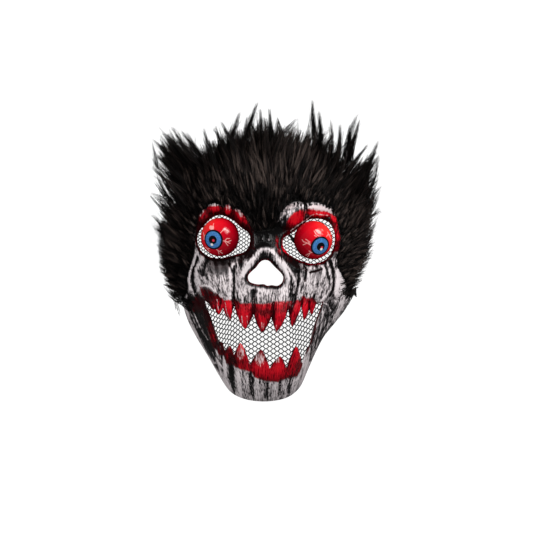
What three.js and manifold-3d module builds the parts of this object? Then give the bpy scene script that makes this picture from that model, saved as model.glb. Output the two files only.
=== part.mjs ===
// A Halloween monster mask: a thin moulded skull face with bulging eyeballs and bared teeth, black
// nets behind its eyes and mouth, and a hood of long black fake fur round the forehead and temples.
// Millimetres. The mask lies on its back: +Z is out of the face, +Y towards the hair, and +X to the
// right of someone looking at the face. The flat back of its rim is at z = 0.

import * as THREE from "three";
import { mergeVertices } from "three/addons/utils/BufferGeometryUtils.js";
import Module from "manifold-3d";

// Driving dimensions
const wall = 2.6; // of the moulded face
const gap = 0.4; // between pieces that touch
const eyeballRadius = 20.3;
const eyeballSunk = 2.5; // how far an eyeball's centre stands in front of its net
const netThickness = 0.8;
const netMargin = 5; // what is glued behind the face, round each opening
const socketSlope = 0.27; // an eye socket falls away towards the temple
const cutFrom = 14; // height where the cuts for the openings start
const cutTo = 130;
const belowRim = 6; // how far the cutting solids reach under the rim
const socket = { half: [27, 25], flatTo: 0.9, endsAt: 1.4 }; // shares of its half width and height
const reliefShown = [0.15, 0.45]; // the relief fades in between these shares of the dome
const toothLump = { least: 2.6, share: 0.48, low: 1.8, rise: 0.18, most: 5, pastTip: 1 };

// Outline of the rim, seen from the front, from the top of the forehead clockwise
const faceCentre = new THREE.Vector2(0, -25);
const rimOutline = [
  [0, 98], [42, 92], [72, 70], [87, 34], [91, -8], [92, -43], [86, -60], [74, -76],
  [62, -91], [53, -108], [45, -126], [35.5, -146], [23, -156], [0, -160.5], [-24, -157.5],
  [-38, -150], [-50.5, -132], [-62, -112], [-74.5, -91.5], [-84, -72.5], [-90, -49], [-90.5, -8],
  [-87, 34], [-72, 70], [-42, 92],
];

// Height of the face's form down its middle, as [y, z], before it falls away to the rim
const profile = [
  [98, 80], [70, 86], [44, 84], [18, 74], [3, 77], [-14, 84], [-36, 87],
  [-66, 91], [-90, 88], [-115, 87], [-140, 90], [-162, 88],
];

// The eyes: the centre of each ball, the socket's height there, and the opening's outline
const eyes = [
  {
    side: "left",
    centre: [-48.3, 14.7],
    height: 61,
    opening: [
      [-48.3, 37.8], [-36.8, 33.6], [-26.2, 24.7], [-17.9, 17.9], [-16.8, 9.5], [-21, 0.5],
      [-35.7, -4.7], [-51.5, -7.6], [-65.1, -3.5], [-72.1, 8.4], [-71.4, 18.9], [-64, 28.4], [-56.7, 35.2],
    ],
  },
  {
    side: "right",
    centre: [49.6, 11.6],
    height: 60,
    opening: [
      [23.1, 16.5], [18.2, 12.1], [17.9, 5.2], [22.1, -1.6], [30.5, -7.4], [39.9, -11.3],
      [50.4, -13.2], [62, -9.5], [69.3, -1.1], [72.5, 11.6], [71.4, 22.1], [65.1, 31.2],
      [54.6, 34], [45.1, 32.8], [37.8, 26.8], [29.9, 20.5],
    ],
  },
];

const noseOpening = [
  [-0.5, -9.5], [5.2, -12.6], [11.6, -18.9], [17.9, -26.8], [17.3, -32.6], [11.6, -36.5],
  [1.1, -36.2], [-13.7, -33.9], [-18.9, -28.4], [-14.7, -21], [-8.4, -14.7], [-4.2, -10.3],
];

// The teeth, as where each starts along the jaw and where its tip is; the last entry ends the row
const upperTeeth = {
  roots: [
    [-59.9, -55.7], [-53.6, -60.9], [-45.1, -59.9], [-33.6, -56.2], [-12.9, -66.2],
    [5.8, -68.8], [23.3, -61.4], [37, -57.2], [45.5, -60.9], [52.5, -55.7],
  ],
  tips: [
    [-55.7, -62], [-49.7, -67.2], [-37.8, -73], [-22.1, -81.9], [-4.2, -85.6],
    [11, -85], [27.1, -79.8], [39.6, -73.5], [47.2, -67.2],
  ],
  rootLength: 6,
};
const lowerTeeth = {
  roots: [
    [38.1, -118.1], [21.5, -122.9], [4, -122.9], [-16.8, -119.2], [-33.6, -109.2], [-43.1, -105],
    [-49.4, -94.5],
  ],
  tips: [
    [32, -99.8], [14.9, -110.2], [-5.2, -102.9], [-26.8, -96.1], [-37.8, -99.2], [-46.7, -95.5],
  ],
  rootLength: 10,
};
const mouthRightSide = [
  [58.8, -54.6], [54.6, -67.2], [51.5, -75.6], [48.8, -84], [47.2, -93.5], [45.1, -100.8], [41, -108.2],
];
const mouthNetOutline = [
  [-67, -50], [-40, -50], [0, -58], [35, -50], [63, -49], [59, -72], [51, -98], [42, -117],
  [15, -127], [-15, -126], [-38, -117], [-53, -101], [-62, -76],
];
const mouthLeftSide = [[-52.5, -86.1], [-55.7, -76.7], [-58.8, -67.2], [-64, -52.5]];

// Swellings: centre, half length and half width, turn in degrees, and how far they stand out
const browFolds = [
  { at: [-66.2, 36.8], half: [10, 5], turn: 62, out: 6 },
  { at: [-54.6, 45.1], half: [8.5, 5.5], turn: 4, out: 7 },
  { at: [-39.9, 44.1], half: [6, 6.5], turn: 0, out: 7 },
  { at: [-25, 35], half: [13, 5.5], turn: -48, out: 6 },
  { at: [28.4, 36.8], half: [18, 11], turn: 38, out: 9 },
  { at: [55.7, 44], half: [16, 7.5], turn: -4, out: 8 },
  { at: [71.4, 36], half: [7, 4.5], turn: -66, out: 5 },
];
const swellings = [
  { at: [-55, -31], half: [23, 23], turn: 0, out: 6 }, // cheeks
  { at: [53, -31], half: [21, 22], turn: 0, out: 6 },
  { at: [-83, -32], half: [9, 26], turn: 0, out: 3 }, // cheek bones, at the sides
  { at: [80, -36], half: [10, 24], turn: 0, out: 4 },
  { at: [0, -50], half: [38, 18], turn: 0, out: 3 }, // upper jaw
  { at: [-6, -134], half: [40, 24], turn: 0, out: 3 }, // chin
  { at: [-70, -74], half: [10, 26], turn: 18, out: -4 }, // hollows beside the mouth
  { at: [64, -74], half: [10, 24], turn: -18, out: -4 },
];

// Ridges (out above zero) and creases along a line
const boneLines = [
  {
    line: [[-27.3, -28], [-21, -13.7], [-8.4, -1], [-1, 3], [6.3, -1], [18, -15.8], [25.2, -30]],
    width: 4.6,
    out: 4.5,
  }, // round the nose
  { line: [[-34, -14.7], [-34, -51]], width: 2.8, out: -2.2 },
  { line: [[33, -24], [33.6, -38], [27.3, -53]], width: 2.8, out: -2.2 },
  { line: [[-70, -7], [-77, -24], [-77, -40], [-69, -55]], width: 3, out: -2.4 },
  { line: [[68, -10], [71.4, -25], [70.4, -41], [64, -52]], width: 3, out: -2.4 },
  { line: [[43, -27], [44.5, -17.5], [52, -13.5], [60, -19.5], [65, -29]], width: 2.6, out: 2 },
];

// Roots of the lower teeth, as ridges down the chin
const chinRidges = [
  [[-50, -106], [-43, -146]],
  [[-29.5, -126], [-30, -153]],
  [[-7.5, -139], [-8, -157]],
  [[9.5, -139], [9.5, -157]],
  [[25, -136], [24, -153]],
  [[40, -108], [36, -145]],
].map((line) => ({ line, width: 3.4, out: 2.4 }));

// The fur: where it ends round the face, and the outline of its thick part
const hairline = [
  [-87, -51.5], [-81, -36], [-79, -20], [-75, -7], [-75.5, 11], [-75, 27], [-72.5, 42], [-62, 52],
  [-46, 53], [-31.5, 52], [-19, 42], [-11, 26], [-6, 21], [2, 21], [9, 28], [15.5, 41],
  [27, 51], [40, 54], [55, 53.5], [69, 49], [77, 36], [78, 20], [78.5, 1], [80, -11], [84, -25],
  [88, -40], [91.5, -48.5],
];
const furOutline = [
  [0, 129], [40, 122], [70, 108], [92, 92], [111, 74], [117, 40], [113, 5], [103, -25],
  [93, -49], [60, -60], [0, -70], [-60, -60], [-91, -51], [-107, -30], [-115, 0], [-113, 36],
  [-104, 62], [-110, 84], [-95, 98], [-66, 107], [-27, 126],
];
const furLift = 0.7; // between the moulding and the back of the fur
const pileAtHairline = 6;
const pileSpread = 2; // how fast the fur thickens away from the hairline
const hairSource = new THREE.Vector3(0, -60, 20); // the hair leans away from this point
const fabricTab = [[84, -34], [93, -35], [97.5, -40], [97, -49.5], [93, -46], [90.5, -50.5], [87, -47]];
const fabricTabBase = 6;
const fabricTabThickness = 2;

// Locks that stand against the background, each as the place and the height of its tip
const crownLocks = [
  [-120, 118, 40], [-108, 127, 52], [-98.5, 134.5, 34], [-88, 129.5, 46], [-77.5, 133.5, 28],
  [-66, 132, 50], [-55.5, 134.5, 36], [-47, 140, 56], [-35.5, 138.5, 32], [-27.5, 150, 48],
  [-17.5, 146, 64], [-10, 158.5, 44], [2, 154, 60], [11.5, 144, 36], [30.5, 137.5, 50],
  [49, 160.5, 46], [56, 148, 62], [65, 135.5, 34], [76, 137, 54], [91, 147.5, 40],
  [98, 147, 56], [110, 124, 36], [119, 118, 48],
];
const crownLock = { length: 52, radius: 9.5, sunk: 9 };
const sideLocks = { count: 8, bottom: -14, step: 16, out: 124.5, rise: 20, height: 26, heightStep: 8 };
const sideLock = { length: 40, radius: 9, sunk: 9, below: 8, stagger: 3 };
const lowLocks = { under: 30, over: 44, shorter: 14 }; // the lowest side locks don't reach so far out
const coatLocks = { rows: 3, perRow: 10, first: 7, step: 15, lowest: 26 };
const coatLock = { length: 30, radius: 8, sunk: 5, lift: 7 };
const lockForm = { sides: 5, rings: 2, bend: 0.16, flatness: 0.6, taper: 0.75 };

const wasm = await Module();
wasm.setup();

function solidOf(geometry) {
  const bare = geometry.clone();
  bare.deleteAttribute("normal");
  bare.deleteAttribute("uv");
  const merged = mergeVertices(bare, 1e-4);
  return new wasm.Manifold(
    new wasm.Mesh({
      numProp: 3,
      vertProperties: new Float32Array(merged.attributes.position.array),
      triVerts: new Uint32Array(merged.index.array),
    }),
  );
}

function geometryOf(solid) {
  const mesh = solid.getMesh();
  const geometry = new THREE.BufferGeometry();
  geometry.setAttribute("position", new THREE.BufferAttribute(mesh.vertProperties, 3));
  geometry.setIndex(new THREE.BufferAttribute(mesh.triVerts, 1));
  const flat = geometry.toNonIndexed();
  flat.computeVertexNormals();
  return flat;
}

const smoothstep = (value, from, to) => THREE.MathUtils.smoothstep(value, from, to);
const joined = (solids) => solids.reduce((whole, one) => whole.add(one));

// A closed smooth curve through points seen from the front, as many points round it
function smoothLoop(points, count) {
  const corners = points.map(([x, y]) => new THREE.Vector3(x, y, 0));
  const curve = new THREE.CatmullRomCurve3(corners, true, "centripetal");
  return curve.getPoints(count).slice(0, count).map((p) => [p.x, p.y]);
}

// How far an outline is from the face's centre, as a function of the direction's angle
function reachOf(points) {
  const turn = 2 * Math.PI;
  const samples = smoothLoop(points, 720)
    .map(([x, y]) => {
      const away = new THREE.Vector2(x, y).sub(faceCentre);
      return { angle: Math.atan2(away.y, away.x), reach: away.length() };
    })
    .sort((a, b) => a.angle - b.angle);
  const first = samples[0];
  const last = samples[samples.length - 1];
  const ring = [
    { angle: last.angle - turn, reach: last.reach },
    ...samples,
    { angle: first.angle + turn, reach: first.reach },
  ];
  return (angle) => {
    let low = 0;
    let high = ring.length - 1;
    while (high - low > 1) {
      const middle = (low + high) >> 1;
      if (ring[middle].angle <= angle) low = middle;
      else high = middle;
    }
    const share = (angle - ring[low].angle) / (ring[high].angle - ring[low].angle || 1);
    return THREE.MathUtils.lerp(ring[low].reach, ring[high].reach, share);
  };
}

// A smooth value between points [place, value], listed from the highest place to the lowest
function between(points, place) {
  if (place >= points[0][0]) return points[0][1];
  for (let i = 1; i < points.length; i++) {
    const [above, valueAbove] = points[i - 1];
    const [below, valueBelow] = points[i];
    if (place >= below) {
      return THREE.MathUtils.lerp(valueAbove, valueBelow, smoothstep(above - place, 0, above - below));
    }
  }
  return points[points.length - 1][1];
}

function distanceToLine(x, y, line) {
  let best = Infinity;
  for (let i = 1; i < line.length; i++) {
    const [ax, ay] = line[i - 1];
    const dx = line[i][0] - ax;
    const dy = line[i][1] - ay;
    const along = THREE.MathUtils.clamp(((x - ax) * dx + (y - ay) * dy) / (dx * dx + dy * dy), 0, 1);
    best = Math.min(best, Math.hypot(x - ax - along * dx, y - ay - along * dy));
  }
  return best;
}

function swellAt(x, y, { at, half, turn, out }) {
  const angle = THREE.MathUtils.degToRad(turn);
  const dx = x - at[0];
  const dy = y - at[1];
  const along = (dx * Math.cos(angle) + dy * Math.sin(angle)) / half[0];
  const across = (dy * Math.cos(angle) - dx * Math.sin(angle)) / half[1];
  const rest = Math.max(0, 1 - along * along - across * across);
  return out * rest * rest;
}

const ridgeAt = (x, y, { line, width, out }) => out * Math.exp(-((distanceToLine(x, y, line) / width) ** 2));

// One over the whole outline, zero at it; it falls faster towards the sides than towards the chin
function domeShare(x, y, reach) {
  const away = new THREE.Vector2(x, y).sub(faceCentre);
  const angle = Math.atan2(away.y, away.x);
  const share = Math.min(1, away.length() / reach(angle));
  const squareness = 2.3 + 1.2 * Math.sin(angle) ** 2;
  return Math.sqrt(Math.max(0, 1 - share ** squareness));
}

const rimReach = reachOf(rimOutline);
const furReach = reachOf(furOutline);

function socketLevel(x, y, eye) {
  const outward = Math.sign(eye.centre[0]) * (x - eye.centre[0]);
  return eye.height - socketSlope * outward;
}

// Height of the moulded face at a point seen from the front
function faceHeight(x, y, lines) {
  const dome = domeShare(x, y, rimReach);
  const shown = smoothstep(dome, ...reliefShown);
  let relief = 0;
  for (const one of swellings) relief += swellAt(x, y, one);
  for (const one of lines) relief += ridgeAt(x, y, one);
  let height = between(profile, y) * dome + relief * shown;
  for (const eye of eyes) {
    const away = Math.hypot((x - eye.centre[0]) / socket.half[0], (y - eye.centre[1]) / socket.half[1]);
    const share = (1 - smoothstep(away, socket.flatTo, socket.endsAt)) * shown;
    height = THREE.MathUtils.lerp(height, socketLevel(x, y, eye), share);
  }
  return height;
}

// The lowest height round a point, a wall's thickness in: the inner side of the moulding
function innerHeight(x, y) {
  const height = (dx, dy) => faceHeight(x + dx, y + dy, boneLines);
  let lowest = height(0, 0) - wall;
  const directions = 8;
  for (let i = 0; i < directions; i++) {
    const angle = (2 * Math.PI * i) / directions;
    const [dx, dy] = [wall * Math.cos(angle), wall * Math.sin(angle)];
    const slanting = height(Math.SQRT1_2 * dx, Math.SQRT1_2 * dy) - Math.SQRT1_2 * wall;
    lowest = Math.min(lowest, height(dx, dy), slanting);
  }
  return lowest;
}

// Where a point of the unit square lies inside an outline: closer together near the steep rim
function placeOf(u, v, reach) {
  const a = u * Math.sqrt(1 - (v * v) / 2);
  const b = v * Math.sqrt(1 - (u * u) / 2);
  const angle = Math.atan2(b, a);
  const out = Math.sin((Math.min(1, Math.hypot(a, b)) * Math.PI) / 2) * reach(angle);
  return [faceCentre.x + out * Math.cos(angle), faceCentre.y + out * Math.sin(angle)];
}

// A closed solid under a height over an outline, from z = floor up. Drop lowers its upper side, and
// swell moves that out.
function domeSolid({ across, along, reach, height, floor = 0, drop = 0, swell = 0 }) {
  const lowest = 0.1; // keeps the skin off its own edge's plane
  const sideways = 1.6; // beyond a share of 1 / sideways of the outline, swell counts in full
  const points = [];
  const faces = [];
  const at = (i, j) => j * (across + 1) + i;
  for (let j = 0; j <= along; j++) {
    for (let i = 0; i <= across; i++) {
      const onEdge = i === 0 || j === 0 || i === across || j === along;
      const [x, y] = placeOf(-1 + (2 * i) / across, -1 + (2 * j) / along, reach);
      const z = (onEdge ? 0 : Math.max(lowest, height(x, y)) + swell) - drop;
      const away = new THREE.Vector2(x, y).sub(faceCentre);
      const wider = swell * Math.min(1, (sideways * away.length()) / reach(Math.atan2(away.y, away.x)));
      away.setLength(away.length() + wider);
      points.push([faceCentre.x + away.x, faceCentre.y + away.y, z]);
    }
  }
  for (let j = 0; j < along; j++) {
    for (let i = 0; i < across; i++) {
      const [p, q, r, s] = [at(i, j), at(i + 1, j), at(i + 1, j + 1), at(i, j + 1)];
      const falling = i < across / 2 === j < along / 2;
      if (falling) faces.push([p, q, s], [q, r, s]);
      else faces.push([p, q, r], [p, r, s]);
    }
  }
  const edge = [];
  for (let i = 0; i < across; i++) edge.push(at(i, 0));
  for (let j = 0; j < along; j++) edge.push(at(across, j));
  for (let i = across; i > 0; i--) edge.push(at(i, along));
  for (let j = along; j > 0; j--) edge.push(at(0, j));
  let ring = edge;
  if (floor < -drop) {
    ring = edge.map((index) => points.push([points[index][0], points[index][1], floor]) - 1);
    edge.forEach((top, k) => {
      const next = (k + 1) % edge.length;
      faces.push([top, ring[k], ring[next]], [top, ring[next], edge[next]]);
    });
  }
  const contour = ring.map((index) => new THREE.Vector2(points[index][0], points[index][1]));
  for (const [a, b, c] of THREE.ShapeUtils.triangulateShape(contour, [])) {
    faces.push([ring[a], ring[c], ring[b]]);
  }
  const geometry = new THREE.BufferGeometry();
  geometry.setAttribute("position", new THREE.Float32BufferAttribute(points.flat(), 3));
  geometry.setIndex(faces.flat());
  return solidOf(geometry);
}

// A prism along Z over an outline seen from the front
function prism(outline, from, to) {
  const shape = new THREE.Shape(outline.map(([x, y]) => new THREE.Vector2(x, y)));
  const geometry = new THREE.ExtrudeGeometry(shape, { depth: to - from, bevelEnabled: false });
  geometry.translate(0, 0, from);
  return solidOf(geometry);
}

// An outline moved away from its middle
function grown(outline, by) {
  const middle = new THREE.Vector2();
  for (const [x, y] of outline) middle.add(new THREE.Vector2(x, y));
  middle.divideScalar(outline.length);
  return outline.map(([x, y]) => {
    const away = new THREE.Vector2(x, y).sub(middle);
    const length = away.length();
    return [x + (away.x / length) * by, y + (away.y / length) * by];
  });
}

// One side of a tooth, from its root to near its tip: nearly straight, and rounded at the tip
function toothSide(root, tip) {
  const steps = 3;
  const points = [];
  for (let i = 0; i < steps; i++) {
    const down = i / steps;
    const width = (1 - down ** 1.1) ** 0.72;
    points.push([tip[0] + (root[0] - tip[0]) * width, root[1] + (tip[1] - root[1]) * down]);
  }
  return points;
}

function teethEdge({ roots, tips }) {
  return tips.flatMap((tip, i) => [
    ...toothSide(roots[i], tip),
    tip,
    ...toothSide(roots[i + 1], tip).reverse().slice(0, -1),
  ]);
}

function mouthOutline() {
  const rightEnd = upperTeeth.roots[upperTeeth.roots.length - 1];
  const leftEnd = lowerTeeth.roots[lowerTeeth.roots.length - 1];
  return [
    ...teethEdge(upperTeeth),
    rightEnd,
    ...mouthRightSide,
    ...teethEdge(lowerTeeth),
    leftEnd,
    ...mouthLeftSide,
  ];
}

// A swelling as a solid, half sunk in the face
function lumpSolid({ at, half, turn, out }, sunk = 0.5) {
  const geometry = new THREE.SphereGeometry(1, 8, 5);
  geometry.rotateX(Math.PI / 2);
  geometry.scale(half[0], half[1], out * (1 + sunk));
  geometry.rotateZ(THREE.MathUtils.degToRad(turn));
  geometry.translate(at[0], at[1], faceHeight(at[0], at[1], boneLines) - out * sunk);
  return solidOf(geometry);
}

// The rounded back of each tooth, from its root in the gum to its tip
function toothLumps({ roots, tips, rootLength }) {
  return tips.map((tip, i) => {
    const width = Math.hypot(roots[i + 1][0] - roots[i][0], roots[i + 1][1] - roots[i][1]);
    const middle = [(roots[i][0] + roots[i + 1][0]) / 2, (roots[i][1] + roots[i + 1][1]) / 2];
    const start = [middle[0], middle[1] + Math.sign(middle[1] - tip[1]) * rootLength];
    const length = Math.hypot(start[0] - tip[0], start[1] - tip[1]);
    return {
      at: [(start[0] + tip[0]) / 2, (start[1] + tip[1]) / 2],
      half: [length / 2 + toothLump.pastTip, Math.max(toothLump.least, width * toothLump.share)],
      turn: THREE.MathUtils.radToDeg(Math.atan2(tip[1] - start[1], tip[0] - start[0])),
      out: Math.min(toothLump.most, toothLump.low + width * toothLump.rise),
    };
  });
}

function ballAt(eye, radius) {
  const geometry = new THREE.SphereGeometry(radius, 18, 10);
  geometry.rotateX(Math.PI / 2);
  geometry.translate(eye.centre[0], eye.centre[1], eye.height - wall + eyeballSunk);
  return solidOf(geometry);
}

const outerForm = {
  across: 22,
  along: 28,
  reach: rimReach,
  height: (x, y) => faceHeight(x, y, [...boneLines, ...chinRidges]),
};
const innerForm = {
  across: 16,
  along: 18,
  reach: (angle) => rimReach(angle) - wall,
  height: innerHeight,
  floor: -belowRim,
};
const openings = {
  left: smoothLoop(eyes[0].opening, 28),
  right: smoothLoop(eyes[1].opening, 30),
  nose: smoothLoop(noseOpening, 22),
  mouth: mouthOutline(),
};

function makeFace() {
  const lumps = [...browFolds, ...toothLumps(upperTeeth), ...toothLumps(lowerTeeth)];
  let solid = joined([domeSolid(outerForm), ...lumps.map((lump) => lumpSolid(lump))]);
  solid = solid.subtract(domeSolid(innerForm));
  for (const outline of Object.values(openings)) solid = solid.subtract(prism(outline, cutFrom, cutTo));
  for (const eye of eyes) solid = solid.subtract(ballAt(eye, eyeballRadius + gap));
  return solid;
}

// The rounded front of an eyeball, cut off flat behind where it is glued to its net
const makeEyeball = (eye) => ballAt(eye, eyeballRadius).subtract(domeSolid(innerForm));

// A net that follows the inner side of the face across an opening
function makeNet(outline) {
  const front = domeSolid({ ...innerForm, drop: gap });
  const back = domeSolid({ ...innerForm, drop: gap + netThickness });
  return front.subtract(back).intersect(prism(outline, cutFrom, cutTo));
}

const furPile = (x, y) => pileAtHairline + pileSpread * distanceToLine(x, y, hairline);

function furHeight(x, y) {
  const full = between(profile, y) * domeShare(x, y, furReach);
  return Math.min(full, faceHeight(x, y, []) + furPile(x, y));
}

// A lock of hair: a tapering, bent spike from its root to its tip
function lockSolid(root, tip, radius) {
  const { sides, rings } = lockForm;
  const bend = root.clone().lerp(tip, 0.5);
  bend.z += root.distanceTo(tip) * lockForm.bend;
  const curve = new THREE.QuadraticBezierCurve3(root, bend, tip);
  const points = [];
  const faces = [];
  const side = new THREE.Vector3().subVectors(tip, root).cross(new THREE.Vector3(0, 0, 1)).normalize();
  for (let j = 0; j < rings; j++) {
    const along = j / rings;
    const centre = curve.getPoint(along);
    const up = new THREE.Vector3().crossVectors(side, curve.getTangent(along)).normalize();
    const size = radius * (1 - along) ** lockForm.taper;
    for (let i = 0; i < sides; i++) {
      const angle = (2 * Math.PI * i) / sides;
      const point = centre.clone().addScaledVector(side, size * Math.cos(angle));
      points.push(point.addScaledVector(up, lockForm.flatness * size * Math.sin(angle)));
    }
  }
  points.push(tip);
  const end = points.length - 1;
  for (let j = 0; j < rings; j++) {
    for (let i = 0; i < sides; i++) {
      const next = (i + 1) % sides;
      const [a, b] = [j * sides + i, j * sides + next];
      if (j === rings - 1) faces.push([a, b, end]);
      else faces.push([a, b, b + sides], [a, b + sides, a + sides]);
    }
  }
  for (let i = 1; i < sides - 1; i++) faces.push([0, i + 1, i]);
  const geometry = new THREE.BufferGeometry();
  geometry.setAttribute("position", new THREE.Float32BufferAttribute(points.flatMap((p) => p.toArray()), 3));
  geometry.setIndex(faces.flat());
  const solid = solidOf(geometry);
  return solid.volume() > 0 ? solid : solidOf(geometry.setIndex(faces.map(([a, b, c]) => [a, c, b]).flat()));
}

function crownSpikes() {
  return crownLocks.map(([x, y, z]) => {
    const tip = new THREE.Vector3(x, y, z);
    const back = new THREE.Vector3().subVectors(hairSource, tip).setZ(0).normalize();
    const root = tip.clone().addScaledVector(back, crownLock.length);
    root.z = furHeight(root.x, root.y) - crownLock.sunk;
    return lockSolid(root, tip, crownLock.radius);
  });
}

function sideSpikes(side) {
  return Array.from({ length: sideLocks.count }, (_, i) => {
    const y = sideLocks.bottom + i * sideLocks.step;
    const low = Math.max(0, (lowLocks.under - y) / lowLocks.over);
    const reach = sideLocks.out - lowLocks.shorter * low - sideLock.stagger * (i % 2);
    const height = sideLocks.height + sideLocks.heightStep * (i % 3);
    const tip = new THREE.Vector3(side * reach, y + sideLocks.rise, height);
    const root = new THREE.Vector3(side * (reach - sideLock.length), y - sideLock.below, 0);
    root.z = furHeight(root.x, root.y) - sideLock.sunk;
    return lockSolid(root, tip, sideLock.radius);
  });
}

// Rows of locks behind the hairline, leaning away from the face
function coatSpikes() {
  const spikes = [];
  const edge = new THREE.CatmullRomCurve3(hairline.map(([x, y]) => new THREE.Vector3(x, y, 0)));
  for (let row = 0; row < coatLocks.rows; row++) {
    for (let i = 0; i < coatLocks.perRow; i++) {
      const root = edge.getPointAt((i + 1 + 0.5 * (row % 2)) / (coatLocks.perRow + 2));
      const away = new THREE.Vector3().subVectors(root, hairSource).setZ(0).normalize();
      root.addScaledVector(away, coatLocks.first + coatLocks.step * row);
      root.z = furHeight(root.x, root.y) - coatLock.sunk;
      if (root.z < coatLocks.lowest) continue;
      const tip = root.clone().addScaledVector(away, coatLock.length);
      tip.x = THREE.MathUtils.clamp(tip.x, -sideLocks.out, sideLocks.out);
      tip.z = furHeight(tip.x, tip.y) + coatLock.lift;
      spikes.push(lockSolid(root, tip, coatLock.radius));
    }
  }
  return spikes;
}

function makeFur() {
  const body = domeSolid({ across: 14, along: 14, reach: furReach, height: furHeight });
  const folds = browFolds.map((fold) => lumpSolid({ ...fold, out: fold.out + furLift }));
  const under = joined([domeSolid({ ...outerForm, floor: -belowRim, swell: furLift }), ...folds]);
  const wayOut = 180; // past the fur on every side
  const [left, right] = [hairline[0], hairline[hairline.length - 1]];
  const faceSide = [
    ...hairline, [wayOut, right[1]], [wayOut, -wayOut], [-wayOut, -wayOut], [-wayOut, left[1]],
  ];
  let solid = joined([body, ...crownSpikes(), ...sideSpikes(-1), ...sideSpikes(1), ...coatSpikes()]);
  solid = solid.subtract(under).subtract(prism(faceSide, -belowRim, cutTo));
  const tab = prism(fabricTab, fabricTabBase, fabricTabBase + fabricTabThickness).subtract(under);
  return solid.add(tab);
}

const finishes = {
  moulding: new THREE.MeshStandardMaterial({ color: 0x6a6362, roughness: 0.5, metalness: 0 }),
  eyeball: new THREE.MeshStandardMaterial({ color: 0xc01020, roughness: 0.12, metalness: 0 }),
  net: new THREE.MeshStandardMaterial({ color: 0x101010, roughness: 0.8, metalness: 0 }),
  fur: new THREE.MeshStandardMaterial({ color: 0x15110f, roughness: 0.75, metalness: 0 }),
};
const group = new THREE.Group();

function place(name, solid, material) {
  const mesh = new THREE.Mesh(geometryOf(solid), material);
  mesh.name = name;
  group.add(mesh);
}

place("mask_face", makeFace(), finishes.moulding);
for (const eye of eyes) {
  place(`${eye.side}_eyeball`, makeEyeball(eye), finishes.eyeball);
  place(`${eye.side}_eye_net`, makeNet(grown(openings[eye.side], netMargin)), finishes.net);
}
place("mouth_net", makeNet(mouthNetOutline), finishes.net);
place("fur_hood", makeFur(), finishes.fur);

export default group;
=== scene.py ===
# %% [markdown]
# # A Halloween monster mask
#
# The mask is one thin sheet of moulded vinyl, painted by hand. Two plastic eyeballs and three black
# nets are glued to it, and a hood of long fake fur goes round its forehead. It lies on the flat back
# of its rim, so the camera looks straight down on it.
#
# The frame holds the same pieces as plain solids in their true places. Each piece here takes the
# place of one of them. We work in millimetres, with zero under the middle of the mask, and go over
# to metres only when a mesh is made.

# %% Load the frame
import math

import bpy
import numpy as np
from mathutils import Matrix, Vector
from mathutils.geometry import delaunay_2d_cdt


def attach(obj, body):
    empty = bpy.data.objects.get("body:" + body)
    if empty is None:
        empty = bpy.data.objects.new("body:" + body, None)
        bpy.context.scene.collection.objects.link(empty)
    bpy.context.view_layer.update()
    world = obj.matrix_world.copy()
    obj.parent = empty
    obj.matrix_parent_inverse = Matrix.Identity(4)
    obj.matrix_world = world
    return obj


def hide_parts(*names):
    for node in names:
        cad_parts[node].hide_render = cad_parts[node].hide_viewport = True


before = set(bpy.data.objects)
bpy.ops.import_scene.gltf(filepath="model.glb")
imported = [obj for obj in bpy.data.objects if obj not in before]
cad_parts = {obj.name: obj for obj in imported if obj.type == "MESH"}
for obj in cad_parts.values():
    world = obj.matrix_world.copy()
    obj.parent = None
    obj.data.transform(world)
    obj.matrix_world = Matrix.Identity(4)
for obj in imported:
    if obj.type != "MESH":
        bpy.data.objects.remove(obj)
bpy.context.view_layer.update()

MM = 0.001

# %% [markdown]
# ## The place it is seen in
#
# A mask sold on white lies on something like a light table: the floor glows, so it shows white
# through the nets and the nose. It glows for the camera only, or the glossy sides of the mask would
# mirror it and turn grey. Big soft lights at both sides pick out the relief. Only the one at the right
# is mirrored in the eyeballs, whose other highlights are painted. A long lens from far above keeps the
# view straight.

# %% Floor, lights and camera
CAMERA_HEIGHT = 4.0  # in metres, as the other sizes of this cell
FRAMED_HEIGHT = 0.07  # at this height over the floor the view is as wide as VIEW_WIDTH
VIEW_WIDTH = 0.5597
VIEW_MIDDLE = (0.0005, -0.0163)
SENSOR = 36
CLIP_END = 20
FLOOR_HALF = 3
FLOOR_DROP = 0.0003  # so that it doesn't lie in one plane with the flat rim
FLOOR_GREY = (0.1, 0.1, 0.1, 1)
WHITE = (1, 1, 1, 1)
LIT_PLACE = (0, 0, 0.05)
SOFTBOXES = [  # name, place, width and length, watts, whether gloss mirrors it
    ("left softbox", (-1.1, 1.1, 1.1), (2.6, 2.2), 25, False),
    ("right softbox", (0.9, 1.0, 1.0), (1.1, 1.0), 29, True),
    ("low softbox", (0.0, -1.4, 1.3), (2.6, 1.4), 22, False),
]
SKY = (0.9, 0.93, 1, 1)
SKY_STRENGTH = 0.16


def set_values(node, **values):
    """Set a node's inputs, by their names with _ for a space."""
    for key, value in values.items():
        node.inputs[key.replace("_", " ")].default_value = value


def add_softbox(name, place, size, watts, mirrored):
    data = bpy.data.lights.new(name, "AREA")
    data.shape = "RECTANGLE"
    data.size, data.size_y = size
    data.energy = watts
    light = bpy.data.objects.new(name, data)
    light.location = place
    light.rotation_euler = (Vector(LIT_PLACE) - light.location).to_track_quat("-Z", "Y").to_euler()
    light.visible_glossy = mirrored
    bpy.context.collection.objects.link(light)


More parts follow.
